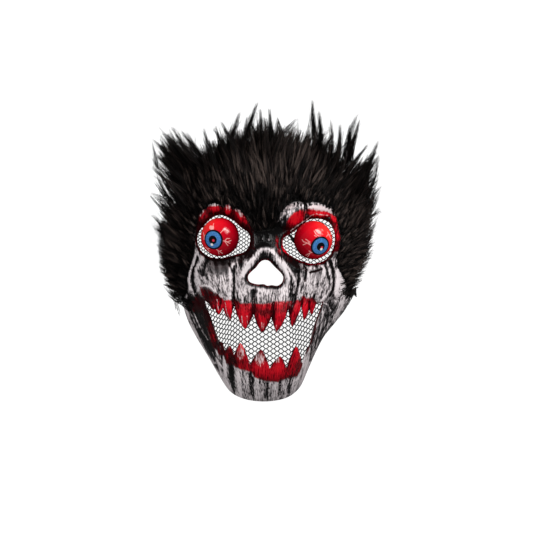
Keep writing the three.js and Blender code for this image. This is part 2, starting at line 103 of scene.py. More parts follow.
def add_floor():
    material = bpy.data.materials.new("pale floor")
    material.use_nodes = True
    shader = material.node_tree.nodes["Principled BSDF"]
    set_values(shader, Base_Color=FLOOR_GREY, Roughness=0.9, Specular_IOR_Level=0.1, Emission_Color=WHITE)
    paths = material.node_tree.nodes.new("ShaderNodeLightPath")
    material.node_tree.links.new(paths.outputs["Is Camera Ray"], shader.inputs["Emission Strength"])
    mesh = bpy.data.meshes.new("floor")
    corners = [(FLOOR_HALF * x, FLOOR_HALF * y, 0) for x, y in ((-1, -1), (1, -1), (1, 1), (-1, 1))]
    mesh.from_pydata(corners, [], [(0, 1, 2, 3)])
    mesh.materials.append(material)
    floor = bpy.data.objects.new("floor", mesh)
    floor.location.z = -FLOOR_DROP
    bpy.context.collection.objects.link(floor)


def add_sky():
    world = bpy.data.worlds.new("studio")
    world.use_nodes = True
    set_values(world.node_tree.nodes["Background"], Color=SKY, Strength=SKY_STRENGTH)
    bpy.context.scene.world = world
    bpy.context.scene.view_settings.view_transform = "Standard"


def add_camera():
    data = bpy.data.cameras.new("camera")
    data.sensor_width = SENSOR
    data.lens = SENSOR * (CAMERA_HEIGHT - FRAMED_HEIGHT) / VIEW_WIDTH
    data.clip_end = CLIP_END
    camera = bpy.data.objects.new("camera", data)
    camera.location = (*VIEW_MIDDLE, CAMERA_HEIGHT)
    bpy.context.collection.objects.link(camera)
    bpy.context.scene.camera = camera
    print("lens", round(data.lens), "mm, softboxes", len(SOFTBOXES))


add_floor()
for softbox in SOFTBOXES:
    add_softbox(*softbox)
add_sky()
add_camera()

# %% [markdown]
# ## Lines and fields
#
# The whole face is a height over the plane that it is seen in. So most of the work is done with a
# few measures of a point in that plane: how far it is from a line, whether it is inside an outline,
# how deep it is in a patch. Numpy works them out for all the points at once.


# %% Measures in the plane of the face
AT_ONCE = 4000  # how many points are measured at a time, to save memory
SHORTEST = 1e-12  # keeps a line's piece without length from dividing by zero


def evenly(points, count, closed=False):
    """The same line with its points evenly spaced."""
    points = np.array(points, float)
    if closed:
        points = np.vstack([points, points[:1]])
    along = np.concatenate([[0], np.cumsum(np.linalg.norm(np.diff(points, axis=0), axis=1))])
    places = np.linspace(0, along[-1], count, endpoint=not closed)
    return np.stack([np.interp(places, along, points[:, k]) for k in range(points.shape[1])], 1)


def smooth_loop(points, count):
    """Points round a closed smooth curve through every corner of an outline."""
    corners = np.array(points, float)
    before, after, beyond = np.roll(corners, 1, 0), np.roll(corners, -1, 0), np.roll(corners, -2, 0)
    per_side = max(2, math.ceil(count / len(corners)))
    t = np.linspace(0, 1, per_side, endpoint=False)[None, :, None]
    hops = zip((before, corners, after), (corners, after, beyond))
    a, b, c = (np.linalg.norm(q - p, axis=1)[:, None, None] ** 0.5 for p, q in hops)
    p0, p1, p2, p3 = (p[:, None, :] for p in (before, corners, after, beyond))
    slope1 = ((p1 - p0) / a - (p2 - p0) / (a + b) + (p2 - p1) / b) * b
    slope2 = ((p2 - p1) / b - (p3 - p1) / (b + c) + (p3 - p2) / c) * b
    curve = (
        (2 * t**3 - 3 * t**2 + 1) * p1 + (t**3 - 2 * t**2 + t) * slope1
        + (3 * t**2 - 2 * t**3) * p2 + (t**3 - t**2) * slope2
    )
    return evenly(curve.reshape(-1, 2), count, closed=True)


def line_distance(p, line, closed=False):
    """Distance of points p to a line, a piece of the points at a time."""
    line = np.array(line, float)
    if closed:
        line = np.vstack([line, line[:1]])
    start, step = line[:-1], np.diff(line, axis=0)
    size = np.maximum((step**2).sum(1), SHORTEST)
    out = np.empty(len(p))
    for first in range(0, len(p), AT_ONCE):
        away = p[first : first + AT_ONCE, None, :] - start
        share = np.clip((away * step).sum(2) / size, 0, 1)
        out[first : first + AT_ONCE] = np.linalg.norm(away - share[..., None] * step, axis=2).min(1)
    return out


def inside(p, outline):
    """Whether points p are inside a closed outline."""
    found = np.zeros(len(p), bool)
    for (x0, y0), (x1, y1) in zip(outline, np.roll(outline, -1, 0)):
        if y0 == y1:
            continue
        crosses = (p[:, 1] > y0) != (p[:, 1] > y1)
        found ^= crosses & (p[:, 0] < x0 + (p[:, 1] - y0) * (x1 - x0) / (y1 - y0))
    return found


square = np.array([(0, 0), (1, 0), (1, 1), (0, 1)])
print("distance from a square", line_distance(np.array([[2.0, 0.5]]), square, closed=True))

# %% Fields over the plane of the face
NOISE_CELLS = 256  # the noise repeats after this many cells


def eased(t):
    """From zero to one, level at both ends."""
    return t * t * (3 - 2 * t)


def ramp(value, low, high):
    """Zero below low, one above high, and smooth between."""
    return eased(np.clip((value - low) / (high - low), 0, 1))


def patch_depth(p, at, half, turn=0):
    """One in the middle of an oval patch, falling to zero at its edge."""
    angle = math.radians(turn)
    dx, dy = p[:, 0] - at[0], p[:, 1] - at[1]
    along = (dx * math.cos(angle) + dy * math.sin(angle)) / half[0]
    across = (dy * math.cos(angle) - dx * math.sin(angle)) / half[1]
    return np.maximum(0, 1 - along**2 - across**2)


def patches(p, rows, power=1):
    """A sum of oval patches, each given as its middle, half length and width, turn, and weight."""
    return sum(weight * patch_depth(p, at, half, turn) ** power for at, half, turn, weight in rows)


def line_relief(p, rows):
    """A sum of soft ridges, each given as its line, width, and weight."""
    return sum(weight * np.exp(-((line_distance(p, line) / width) ** 2)) for line, width, weight in rows)


def soft_noise(u, v, seed):
    """Smooth noise from 0 to 1 with a cell of one by one."""
    table = np.random.default_rng(seed).random((NOISE_CELLS, NOISE_CELLS))
    i, j = np.floor(u).astype(int), np.floor(v).astype(int)
    a, b = eased(u - i), eased(v - j)

    def corner(x, y):
        return table[x % NOISE_CELLS, y % NOISE_CELLS]

    low = corner(i, j) * (1 - a) + corner(i + 1, j) * a
    high = corner(i, j + 1) * (1 - a) + corner(i + 1, j + 1) * a
    return low * (1 - b) + high * b


print("ramp half way", ramp(0.5, 0, 1), "and a patch's middle", patch_depth(np.zeros((1, 2)), (0, 0), (1, 1)))

# %% [markdown]
# ## The face's form
#
# Vinyl masks like this are pulled over a mould, so the form is one smooth skin. It is made of a dome
# over the rim's outline, with swellings for the cheeks and the jaws, flat sockets for the eyes, and
# ridges and creases along lines. The sizes are those of the solid in the frame. A height is exact
# and easy to add to, where sculpting by hand would have to be repeated after each change.

# %% Outlines of the rim and the openings
WALL = 2.6
CENTRE = np.array([0.0, -25.0])
RIM = [
    (0, 98), (42, 92), (72, 70), (87, 34), (91, -8), (92, -43), (86, -60), (74, -76), (62, -91),
    (53, -108), (45, -126), (35.5, -146), (23, -156), (0, -160.5), (-24, -157.5), (-38, -150),
    (-50.5, -132), (-62, -112), (-74.5, -91.5), (-84, -72.5), (-90, -49), (-90.5, -8), (-87, 34),
    (-72, 70), (-42, 92),
]
LEFT_EYE = [
    (-48.3, 37.8), (-36.8, 33.6), (-26.2, 24.7), (-17.9, 17.9), (-16.8, 9.5), (-21, 0.5), (-35.7, -4.7),
    (-51.5, -7.6), (-65.1, -3.5), (-72.1, 8.4), (-71.4, 18.9), (-64, 28.4), (-56.7, 35.2),
]
RIGHT_EYE = [
    (23.1, 16.5), (18.2, 12.1), (17.9, 5.2), (22.1, -1.6), (30.5, -7.4), (39.9, -11.3), (50.4, -13.2),
    (62, -9.5), (69.3, -1.1), (72.5, 11.6), (71.4, 22.1), (65.1, 31.2), (54.6, 34), (45.1, 32.8),
    (37.8, 26.8), (29.9, 20.5),
]
NOSE = [
    (-0.5, -9.5), (3.2, -10.5), (6.3, -13.6), (10.5, -18), (14.7, -22), (17.9, -26.8), (17.6, -31),
    (15.8, -34.1), (11.6, -36.5), (6, -35.8), (1.1, -36.4), (-2, -34.8), (-8.4, -35), (-13.7, -33.9),
    (-17.5, -32), (-18.9, -28.4), (-18.4, -25.2), (-14.7, -21), (-10.5, -17.3), (-7.4, -13.1), (-4.2, -10.3),
]
UPPER_ROOTS = [
    (-59.9, -55.7), (-53.6, -60.9), (-45.1, -59.9), (-33.6, -56.2), (-12.9, -66.2), (5.8, -68.8),
    (23.3, -61.4), (37, -57.2), (45.5, -60.9), (52.5, -55.7),
]
UPPER_TIPS = [
    (-55.7, -62), (-49.7, -67.2), (-37.8, -73), (-22.1, -81.9), (-4.2, -85.6), (11, -85), (27.1, -79.8),
    (39.6, -73.5), (47.2, -67.2),
]
LOWER_ROOTS = [
    (38.1, -118.1), (21.5, -122.9), (4, -122.9), (-16.8, -119.2), (-33.6, -109.2), (-43.1, -105),
    (-49.4, -94.5),
]
LOWER_TIPS = [(32, -99.8), (14.9, -110.2), (-5.2, -102.9), (-26.8, -96.1), (-37.8, -99.2), (-46.7, -95.5)]
MOUTH_RIGHT = [
    (58.8, -54.6), (56.7, -60.9), (54.6, -67.2), (51.5, -75.6), (48.8, -84), (47.2, -93.5), (45.1, -100.8),
    (41, -108.2),
]
MOUTH_LEFT = [(-52.5, -86.1), (-55.7, -76.7), (-58.8, -67.2), (-62, -59.9), (-64, -52.5)]
print("teeth", len(UPPER_TIPS), "above and", len(LOWER_TIPS), "below")

# %% The teeth as the edge of the mouth
TOOTH_NARROWS = 1.1  # the larger, the further down a tooth keeps its width
TOOTH_BLUNT = 0.72  # the smaller, the blunter its tip
TOOTH_STEPS = 7
RIM_POINTS = 420
EYE_POINTS = 130
NOSE_POINTS = 84
MOUTH_POINTS = 560


def tooth_width(down):
    """Share of a tooth's width that is left at a share of the way to its tip."""
    return np.maximum(0, 1 - down**TOOTH_NARROWS) ** TOOTH_BLUNT


def tooth_side(root, tip):
    down = np.arange(TOOTH_STEPS) / TOOTH_STEPS
    places = zip(tooth_width(down), down)
    return [(tip[0] + (root[0] - tip[0]) * w, root[1] + (tip[1] - root[1]) * d) for w, d in places]


def teeth_edge(roots, tips):
    edge = []
    for left, tip, right in zip(roots, tips, roots[1:]):
        edge += [*tooth_side(left, tip), tip, *tooth_side(right, tip)[:0:-1]]
    return edge


MOUTH = [
    *teeth_edge(UPPER_ROOTS, UPPER_TIPS), UPPER_ROOTS[-1], *MOUTH_RIGHT,
    *teeth_edge(LOWER_ROOTS, LOWER_TIPS), LOWER_ROOTS[-1], *MOUTH_LEFT,
]
rim_loop = smooth_loop(RIM, RIM_POINTS)
openings = {
    "left eye": smooth_loop(LEFT_EYE, EYE_POINTS),
    "right eye": smooth_loop(RIGHT_EYE, EYE_POINTS),
    "nose": smooth_loop(NOSE, NOSE_POINTS),
    "mouth": evenly(MOUTH, MOUTH_POINTS, closed=True),
}
print("opening points", {name: len(loop) for name, loop in openings.items()})

# %% [markdown]
# A point's share of the way from the centre to the rim tells how far down the dome it is. The same
# share, turned into an angle, unrolls the steep sides, which is how the points are spread later.

# %% The dome
PROFILE = [
    (98, 80), (70, 86), (44, 84), (18, 74), (3, 77), (-14, 84), (-36, 87), (-66, 91), (-90, 88), (-115, 87),
    (-140, 90), (-162, 88),
]
REACH_POINTS = 2000
DOME_POWER = 2.3  # two is a half circle; more is flatter on top and steeper at the rim
END_POWER = 1.2  # and how much more it is towards the crown and the chin
NO_LENGTH = 1e-9


def unit(vectors):
    """Vectors the same way and of length one. One without a length stays as it is."""
    return vectors / np.maximum(np.linalg.norm(vectors, axis=-1, keepdims=True), NO_LENGTH)


def from_centre(p):
    """(angle, distance) of each point, seen from the middle of the dome."""
    away = p - CENTRE
    return np.arctan2(away[:, 1], away[:, 0]), np.linalg.norm(away, axis=1)


def reach_of(loop):
    """How far an outline is from the centre, as a function of an angle."""
    angles, distances = from_centre(loop)
    order = np.argsort(angles)

    def reach(angle):
        return np.interp(angle, angles[order], distances[order], period=2 * math.pi)

    return reach


rim_reach = reach_of(smooth_loop(RIM, REACH_POINTS))


def rim_share(p):
    """(angle, share of the way from the centre to the rim)"""
    angle, distance = from_centre(p)
    return angle, np.minimum(1, distance / rim_reach(angle))


def dome_share(p):
    angle, share = rim_share(p)
    return np.sqrt(np.maximum(0, 1 - share ** (DOME_POWER + END_POWER * np.sin(angle) ** 2)))


def middle_height(y):
    """Height down the middle of the face, eased from each height of the profile to the next."""
    places, heights = (np.array(v, float) for v in zip(*PROFILE))
    y = np.clip(y, places[-1], places[0])
    k = np.clip(np.searchsorted(-places, -y, side="right"), 1, len(places) - 1)
    t = (places[k - 1] - y) / (places[k - 1] - places[k])
    return heights[k - 1] + (heights[k] - heights[k - 1]) * eased(t)


print("height of the nose", middle_height(np.array([CENTRE[1]])).round(1), "mm")

# %% Sockets, swellings and ridges
SOCKET_SLOPE = 0.27
SOCKET_HALF = (27, 25)
SOCKET_EDGE = (0.9, 1.4)  # shares of its half size between which a socket turns into the plain form
RELIEF_FADE = (0.15, 0.45)  # shares of the dome between which all relief fades out towards the rim
EYES = {"left": {"at": (-48.3, 14.7), "height": 61}, "right": {"at": (49.6, 11.6), "height": 60}}
SWELLINGS = [  # middle, half length and width, turn, height
    ((-55, -31), (23, 23), 0, 6),
    ((53, -31), (21, 22), 0, 6),
    ((-83, -32), (9, 26), 0, 3),
    ((80, -36), (10, 24), 0, 4),
    ((0, -50), (38, 18), 0, 3),
    ((-6, -134), (40, 24), 0, 3),
    ((-70, -74), (10, 26), 18, -4),
    ((64, -74), (10, 24), -18, -4),
]
BONE_LINES = [  # line, width, height
    ([(-27.3, -28), (-21, -13.7), (-8.4, -1), (-1, 3), (6.3, -1), (18, -15.8), (25.2, -30)], 4.6, 4.5),
    ([(-34, -14.7), (-34, -51)], 2.8, -2.2),
    ([(33, -24), (33.6, -38), (27.3, -53)], 2.8, -2.2),
    ([(-70, -7), (-77, -24), (-77, -40), (-69, -55)], 3, -2.4),
    ([(68, -10), (71.4, -25), (70.4, -41), (64, -52)], 3, -2.4),
    ([(43, -27), (44.5, -17.5), (52, -13.5), (60, -19.5), (65, -29)], 2.6, 2),
]
print("swellings", len(SWELLINGS), "and ridges or creases", len(BONE_LINES))

# %% The folds of the cheeks
CHEEK_LINES = [  # from the left side to the right: line, width, height
    ([(-73.5, -1), (-75.5, -11.5), (-80, -21), (-82, -30.5), (-80, -39), (-84, -47), (-86, -54.5)], 1.5, 1.6),
    ([(-67, -6.5), (-70.5, -13.5), (-74, -21), (-74, -31.5), (-71.5, -40), (-68, -47)], 2, 1.6),
    ([(-72.5, -7.5), (-76.5, -18), (-78, -28.5), (-76.5, -39), (-72.5, -47)], 1.4, -2),
    ([(-62, -8.5), (-64.5, -16), (-66, -25)], 1.6, -1.5),
    ([(-74, -45), (-70.5, -38.5), (-65, -36), (-58.5, -38), (-54, -43)], 1.1, 1.8),
    ([(-55.5, -32.5), (-52.5, -43), (-47, -49.5)], 0.8, 0.8),
    ([(-34.5, -13.5), (-38, -20), (-37.5, -30.5), (-37, -49.5)], 1.7, 1.5),
    ([(-39, -13.5), (-36.5, -19), (-34, -24)], 1, -1.6),
    ([(-33.5, -16), (-33.5, -33.5), (-34, -51.5)], 1, -2.2),
    ([(22, -18), (26, -27.5), (27.5, -39), (25.5, -48.5)], 0.67, -0.9),
    ([(19, -11.5), (25, -20), (30.5, -29.5), (32.5, -39), (30.5, -48.5)], 1.4, 1.4),
    ([(32.5, -11.5), (34, -25), (33.5, -34.5), (31.5, -44), (29, -53.5)], 1.2, -2),
    ([(35, -34.5), (34.5, -43), (35.5, -50.5)], 1, 1.2),
    ([(35.5, -13), (40, -13.5), (43, -17.5)], 1, 1.2),
    ([(42, -13), (41.5, -24), (41, -31.5)], 1.1, -2),
    ([(44, -10.5), (52, -9.5), (60, -12)], 1.3, -1.5),
    ([(44, -27.5), (45, -19), (50.5, -14.5), (56.5, -14), (61, -19), (62, -26)], 1.3, 1.6),
    ([(45.5, -22.5), (52.5, -21), (59, -18.5)], 1, -1.9),
    ([(61.5, -12), (64, -20), (65.5, -29)], 1.3, -1.6),
    ([(64, -11.5), (67.5, -22), (69, -32.5), (67.5, -41), (63, -48), (58, -52)], 1.2, 1.4),
    ([(68, -10.5), (70.5, -20), (71.5, -31.5), (70.5, -40), (67.5, -47)], 1.2, -2.2),
    ([(70.5, -11.5), (73, -20), (75.5, -27.5)], 1.2, 1.2),
    ([(76.5, -23), (75.5, -34.5), (73.5, -44)], 3, 0.8),
]
print("folds of the cheeks", len(CHEEK_LINES))

# %% The streaks of the jaws
JAW_LINES = [  # and the clefts between the upper teeth: line, width, height
    ([(-86.5, -56), (-80.5, -76), (-68.5, -99), (-56.5, -121.5), (-41, -144), (-28, -155)], 2.2, 1.8),
    ([(-78, -62), (-74, -72), (-69.5, -81)], 0.8, 1.9),
    ([(-57.5, -106), (-51.5, -116), (-45, -125)], 0.7, 1.9),
    ([(-55, -101), (-49.5, -114)], 0.7, 1.7),
    ([(-62, -81), (-58.5, -93)], 1, 1.8),
    ([(-65, -96), (-59, -108)], 0.7, 1.6),
    ([(-50.5, -104), (-51, -116.5), (-47, -131)], 0.9, 1.5),
    ([(-46.5, -110), (-46.5, -127)], 0.89, -1.2),
    ([(-43.5, -104), (-43.5, -114.5)], 0.67, -1.12),
    ([(-43, -110), (-44, -123), (-42.5, -139.5), (-36.5, -152)], 2, 2.0),
    ([(-37.5, -114), (-36.5, -130), (-34, -152)], 2, -2.6),
    ([(-52.5, -121), (-47, -138), (-39, -151)], 1.3, -2.2),
    ([(-29.5, -123), (-29, -142), (-26.5, -154.5)], 2, 1.8),
    ([(-16, -129), (-15, -152)], 2.6, -1.6),
    ([(-10.5, -133.5), (-10, -155.5)], 1.8, 1),
    ([(1, -139.5), (1, -154.5)], 1.9, -1.7),
    ([(9.5, -139.5), (9.5, -152)], 2.2, 0.8),
    ([(14.5, -138), (14.5, -152)], 1, -1.6),
    ([(25.5, -132), (24, -150)], 1.3, -1.7),
    ([(32.5, -135.5), (28.5, -152)], 1.8, 0.8),
    ([(52.5, -81), (48.5, -98.5), (46.5, -116.5)], 0.81, -1.5),
    ([(58, -66), (55.5, -83), (51.5, -102)], 0.67, -0.75),
    ([(60, -64), (57.5, -84), (53.5, -102)], 0.7, 1.7),
    ([(64, -64), (61.5, -84), (56.5, -104)], 0.7, 1.7),
    ([(68, -62), (65.5, -82), (60, -98)], 0.7, 1.6),
    ([(84, -47), (77.5, -60), (70.5, -72.5)], 1.5, 1),
    ([(60, -54.5), (65, -56.5), (68, -63)], 0.8, 1.4),
    ([(-47, -50), (-49, -60)], 0.9, -1.7),
    ([(-34, -50), (-34, -61)], 1.3, -2.1),
    ([(-14, -42), (-13.5, -66)], 1.5, -2.4),
    ([(7.5, -54.5), (7.5, -69.5)], 1.4, -2.2),
    ([(29, -46), (29, -53.5), (25, -65)], 1.3, -2.2),
    ([(38, -51), (37, -58)], 1, -1.8),
    ([(45.5, -53), (45.5, -61)], 1, -1.8),
]
BRIDGE_LINES = [  # the knuckles of the bridge of the nose, glossy, each with a painted highlight in pale paint
    ([(-4, 14.2), (-4, 13)], 1.6, 1.3),
    ([(3, 15), (3.6, 12)], 2, 1.5),
]
SKIN_LINES = CHEEK_LINES + JAW_LINES + BRIDGE_LINES
print("lines in the skin", len(SKIN_LINES))

# %% The plain form, and the wall under it
ROLL_STEPS = 8
ROLL_SIDE = 0.7  # how far out and down a point at the side of the rolled ball is, in walls


def socket_level(p, eye):
    outward = np.sign(eye["at"][0]) * (p[:, 0] - eye["at"][0])
    return eye["height"] - SOCKET_SLOPE * outward


def with_sockets(p, height, shown):
    for eye in EYES.values():
        dx, dy = p[:, 0] - eye["at"][0], p[:, 1] - eye["at"][1]
        away = np.hypot(dx / SOCKET_HALF[0], dy / SOCKET_HALF[1])
        share = (1 - ramp(away, *SOCKET_EDGE)) * shown
        height = height + (socket_level(p, eye) - height) * share
    return height


def plain_height(p):
    """The form without its fine relief: what the back of the moulding follows."""
    dome = dome_share(p)
    shown = ramp(dome, *RELIEF_FADE)
    relief = patches(p, SWELLINGS, power=2) + line_relief(p, BONE_LINES)
    return with_sockets(p, middle_height(p[:, 1]) * dome + relief * shown, shown)


def inner_height(p):
    """The lowest height a wall's thickness round a point, as a ball rolled under the skin leaves it."""
    lowest = plain_height(p) - WALL
    for angle in np.arange(ROLL_STEPS) * 2 * math.pi / ROLL_STEPS:
        step = WALL * np.array([math.cos(angle), math.sin(angle)])
        lowest = np.minimum(lowest, plain_height(p + step))
        lowest = np.minimum(lowest, plain_height(p + ROLL_SIDE * step) - ROLL_SIDE * WALL)
    return lowest


print("wall under the nose", (plain_height(CENTRE[None]) - inner_height(CENTRE[None])).round(1), "mm")

# %% [markdown]
# The brow is a row of fleshy folds, and each tooth is a claw that runs on into the gum. Both are
# round-topped. A fold's height over the skin is that of a half circle, and a tooth is a little less
# full. So each needs only its place, its size and how high it stands.

# %% Brow folds and teeth
BROW_FOLDS = [  # middle, half length and width, turn, height
    ((-66.2, 36.8), (10, 5), 62, 4.5),
    ((-54.6, 45.1), (8.5, 5.5), 4, 5.2),
    ((-39.9, 44.1), (5, 6.5), 0, 5.2),
    ((-25, 34.5), (14, 5.5), -48, 4.5),
    ((28.4, 36.8), (18, 11), 38, 7),
    ((55.7, 45.5), (16, 5.5), -4, 7),
    ((56.5, 39.5), (16, 3.6), -3, 5),
    ((71.4, 36), (6.5, 4), -66, 4.5),
]
TOOTH_ROWS = [  # roots, tips, how far each tooth runs on into the gum
    (UPPER_ROOTS, UPPER_TIPS, 14),
    (LOWER_ROOTS, LOWER_TIPS, 15),
]
NARROWEST_TOOTH = 2.4  # half its width
CROWN_MARGIN = 0.3  # a crown is this much wider than the edge that was cut
CROWN_FULLNESS = 0.7
LEAST_TOOTH = 1.6  # height of a tooth without any width
TOOTH_RISE = 0.28  # and how much higher it is for each millimetre of half its width
ROOT_FADE = 0.35


def tooth_relief(p, left, right, tip, root_length):
    """Height over the gum of one tooth, between two roots in the outline and its tip."""
    left, right, tip = (np.array(v, float) for v in (left, right, tip))
    middle = (left + right) / 2
    length = np.linalg.norm(tip - middle)
    axis = (tip - middle) / length
    along = (p - middle) @ axis
    across = np.abs((p - middle) @ np.array([-axis[1], axis[0]]))
    half = max(NARROWEST_TOOTH, 0.5 * np.linalg.norm(right - left))
    width = half * tooth_width(np.clip(along / length, 0, 1)) + CROWN_MARGIN
    crown = np.maximum(0, 1 - (across / width) ** 2) ** CROWN_FULLNESS
    shown = ramp(along, -root_length, ROOT_FADE * root_length) * (along < length)
    return (LEAST_TOOTH + TOOTH_RISE * half) * crown * shown


def teeth_relief(p):
    height = np.zeros(len(p))
    for roots, tips, root_length in TOOTH_ROWS:
        for left, right, tip in zip(roots, roots[1:], tips):
            height = np.maximum(height, tooth_relief(p, left, right, tip, root_length))
    return height


def fold_relief(p):
    height = np.zeros(len(p))
    for at, half, turn, out in BROW_FOLDS:
        height = np.maximum(height, out * patch_depth(p, at, half, turn) ** 0.5)
    return height


print("highest fold", max(out for _, _, _, out in BROW_FOLDS), "mm over the skin")

# %% [markdown]
# Dry-brushed paint shows every scratch, and the mould has many: shallow grooves that run down the
# face and draw together towards the chin. They are noise, stretched along rays from a point below
# the chin. The same rays later lead the strokes of the brush.

# %% The grain of the face
GRAIN_FOCUS = np.array([0.0, -262.0])
GRAIN_RADIUS = 230  # the middle of the face is this far from the point where the rays meet
GROOVE_WANDER = (9, 22, 11, 1.6)  # length of a bend across and along the grain, seed, how far it goes
GROOVE_NOISES = [(3.4, 30, 12, 0.6), (1.7, 15, 13, 0.4)]  # width, length, seed, share
PLAIN_GROOVES = 0.55
SHALLOWEST_GROOVES = 0.1
GROOVE_PATCHES = [  # deeper on the jaws, and shallower on the folds and round the eyes
    ((-4, -140), (60, 40), 0, 0.9),
    ((-72, -90), (18, 50), 18, 0.5),
    ((66, -84), (18, 50), -18, 0.5),
    ((0, 22), (110, 34), 0, -0.35),
    ((-1, 16), (26, 18), 0, -0.5),
]


def grain(p):
    """(across the grain, along it), in millimetres at the middle of the face."""
    away = p - GRAIN_FOCUS
    return np.arctan2(away[:, 0], away[:, 1]) * GRAIN_RADIUS, np.linalg.norm(away, axis=1)


def grooves(p):
    """From 0 in a groove to 1 on the ridge between two."""
    u, v = grain(p)
    across, along, seed, reach = GROOVE_WANDER
    bent = u + reach * soft_noise(u / across, v / along, seed)
    return sum(share * soft_noise(bent / wide, v / long, seed) for wide, long, seed, share in GROOVE_NOISES)


def groove_depth(p):
    return np.maximum(SHALLOWEST_GROOVES, PLAIN_GROOVES + patches(p, GROOVE_PATCHES, power=0.5))


print("groove depth under the nose", groove_depth(CENTRE[None]).round(2))

# %% The whole height of the painted side
EDGE_ROLL = {"left eye": (2.6, 1.5), "right eye": (2.6, 1.5), "nose": (5.5, 5.0), "mouth": (2.2, 1.3)}
DEEPEST_CREASE = -1.4
GROOVE_HEIGHT = 1.5
LIP_AT = 3.6  # the lip round each eye: how far out it lies, how wide it is, and how high
LIP_WIDTH = 1.6
LIP_HEIGHT = 1.1


def edge_distance(p, name):
    return line_distance(p, openings[name], closed=True)


def edge_drop(p):
    """The edge of each opening is rolled in: this far down, over this width."""
    drop = np.zeros(len(p))
    for name, (width, depth) in EDGE_ROLL.items():
        near = np.minimum(1, edge_distance(p, name) / width)
        drop += depth * (1 - np.sqrt(1 - (1 - near) ** 2))
    return drop


def face_height(p):
    relief = np.maximum(DEEPEST_CREASE, line_relief(p, SKIN_LINES))
    relief += (grooves(p) - 0.5) * groove_depth(p) * GROOVE_HEIGHT
    relief += fold_relief(p) + teeth_relief(p)
    for name in ("left eye", "right eye"):
        relief += LIP_HEIGHT * np.exp(-(((edge_distance(p, name) - LIP_AT) / LIP_WIDTH) ** 2))
    return plain_height(p) + relief * ramp(dome_share(p), *RELIEF_FADE) - edge_drop(p)


tip_of_chin = np.array([[0.0, -150.0]])
print("height of the chin", face_height(tip_of_chin).round(1), "mm")

# %% [markdown]
# ## The moulding's mesh
#
# A grid would cut the teeth and the eye rims into steps. Instead we spread points evenly over the
# unrolled dome, add the exact outlines as fixed edges, and let Blender's flat triangulation join them.
# The back of the moulding is the same thing with fewer points. Both sides share the outlines, so a
# strip of faces closes the wall round each opening and along the rim.

# %% Spread points and join them
STRETCH = np.array([90.0, 140.0])  # the unrolled dome's half width and half height
MIDDLE = 0.66  # share of the unrolled dome that gets more points, because the features are there
RIM_POWER = 16  # how close to the rim the back is drawn in
EVEN_ROWS = math.sqrt(3) / 2  # height of a row of a grid of even triangles, in spacings
SHAKE = 0.08  # how far each point is shaken, in spacings
SHAKE_SEED = 5
SAME_POINT = 1e-6


def unrolled(p):
    angle, share = rim_share(p)
    out = np.arcsin(share) * 2 / math.pi
    return np.stack([out * np.cos(angle), out * np.sin(angle)], 1) * STRETCH


def rolled(q, shrink=0.0):
    """Back from the unrolled dome to the face; shrink draws the rim in, for the back."""
    q = q / STRETCH
    angle = np.arctan2(q[:, 1], q[:, 0])
    share = np.sin(np.minimum(1, np.linalg.norm(q, axis=1)) * math.pi / 2)
    out = share * rim_reach(angle) - shrink * share**RIM_POWER
    return CENTRE + np.stack([out * np.cos(angle), out * np.sin(angle)], 1)


def staggered_grid(low, high, spacing, row_height):
    """Points in rows, each row half a spacing beside the last; row_height is in spacings."""
    rows = np.arange(low[1], high[1], spacing * row_height)
    x, y = np.meshgrid(np.arange(low[0], high[0], spacing), rows)
    x = x + spacing / 2 * (np.arange(len(rows)) % 2)[:, None]
    return np.stack([x.ravel(), y.ravel()], 1)


def even_points(spacing, inner, outer):
    """A slightly shaken grid over a ring of the unrolled dome."""
    q = staggered_grid(-STRETCH, STRETCH, spacing, EVEN_ROWS)
    q += np.random.default_rng(SHAKE_SEED).normal(0, spacing * SHAKE, q.shape)
    out = np.linalg.norm(q / STRETCH, axis=1)
    return q[(out >= inner) & (out < outer)]


def join_points(points, loop_sizes):
    """(points, triangles) of points whose first ones run round closed outlines of these sizes."""
    edges, first = [], 0
    for size in loop_sizes:
        edges += [(first + k, first + (k + 1) % size) for k in range(size)]
        first += size
    made = delaunay_2d_cdt([Vector(q) for q in points], edges, [], 0, SAME_POINT, False)
    return np.array([tuple(v) for v in made[0]]), np.array(made[2])


def triangulated(spacing, middle_spacing):
    """(points on the unrolled dome, triangles, outline sizes): the outlines' points come first."""
    loops = [unrolled(rim_loop), *(unrolled(loop) for loop in openings.values())]
    sizes = [len(loop) for loop in loops]
    gap = spacing / STRETCH[0]
    free = np.vstack([
        even_points(middle_spacing, 0, MIDDLE),
        even_points(spacing, MIDDLE + 0.5 * gap, 1 - 0.8 * gap),
    ])
    for loop in loops:
        free = free[line_distance(free, loop, closed=True) > 0.5 * middle_spacing]
    for loop in loops[1:]:
        free = free[~inside(free, loop)]
    places, faces = join_points(np.vstack([*loops, free]), sizes)
    if len(places) != sum(sizes) + len(free):
        raise ValueError("the outlines cross")
    middles = places[faces].mean(1)
    keep = inside(middles, loops[0])
    for loop in loops[1:]:
        keep &= ~inside(middles, loop)
    print("joined", len(places), "points, of which", sum(sizes), "in outlines")
    return places, faces[keep], sizes


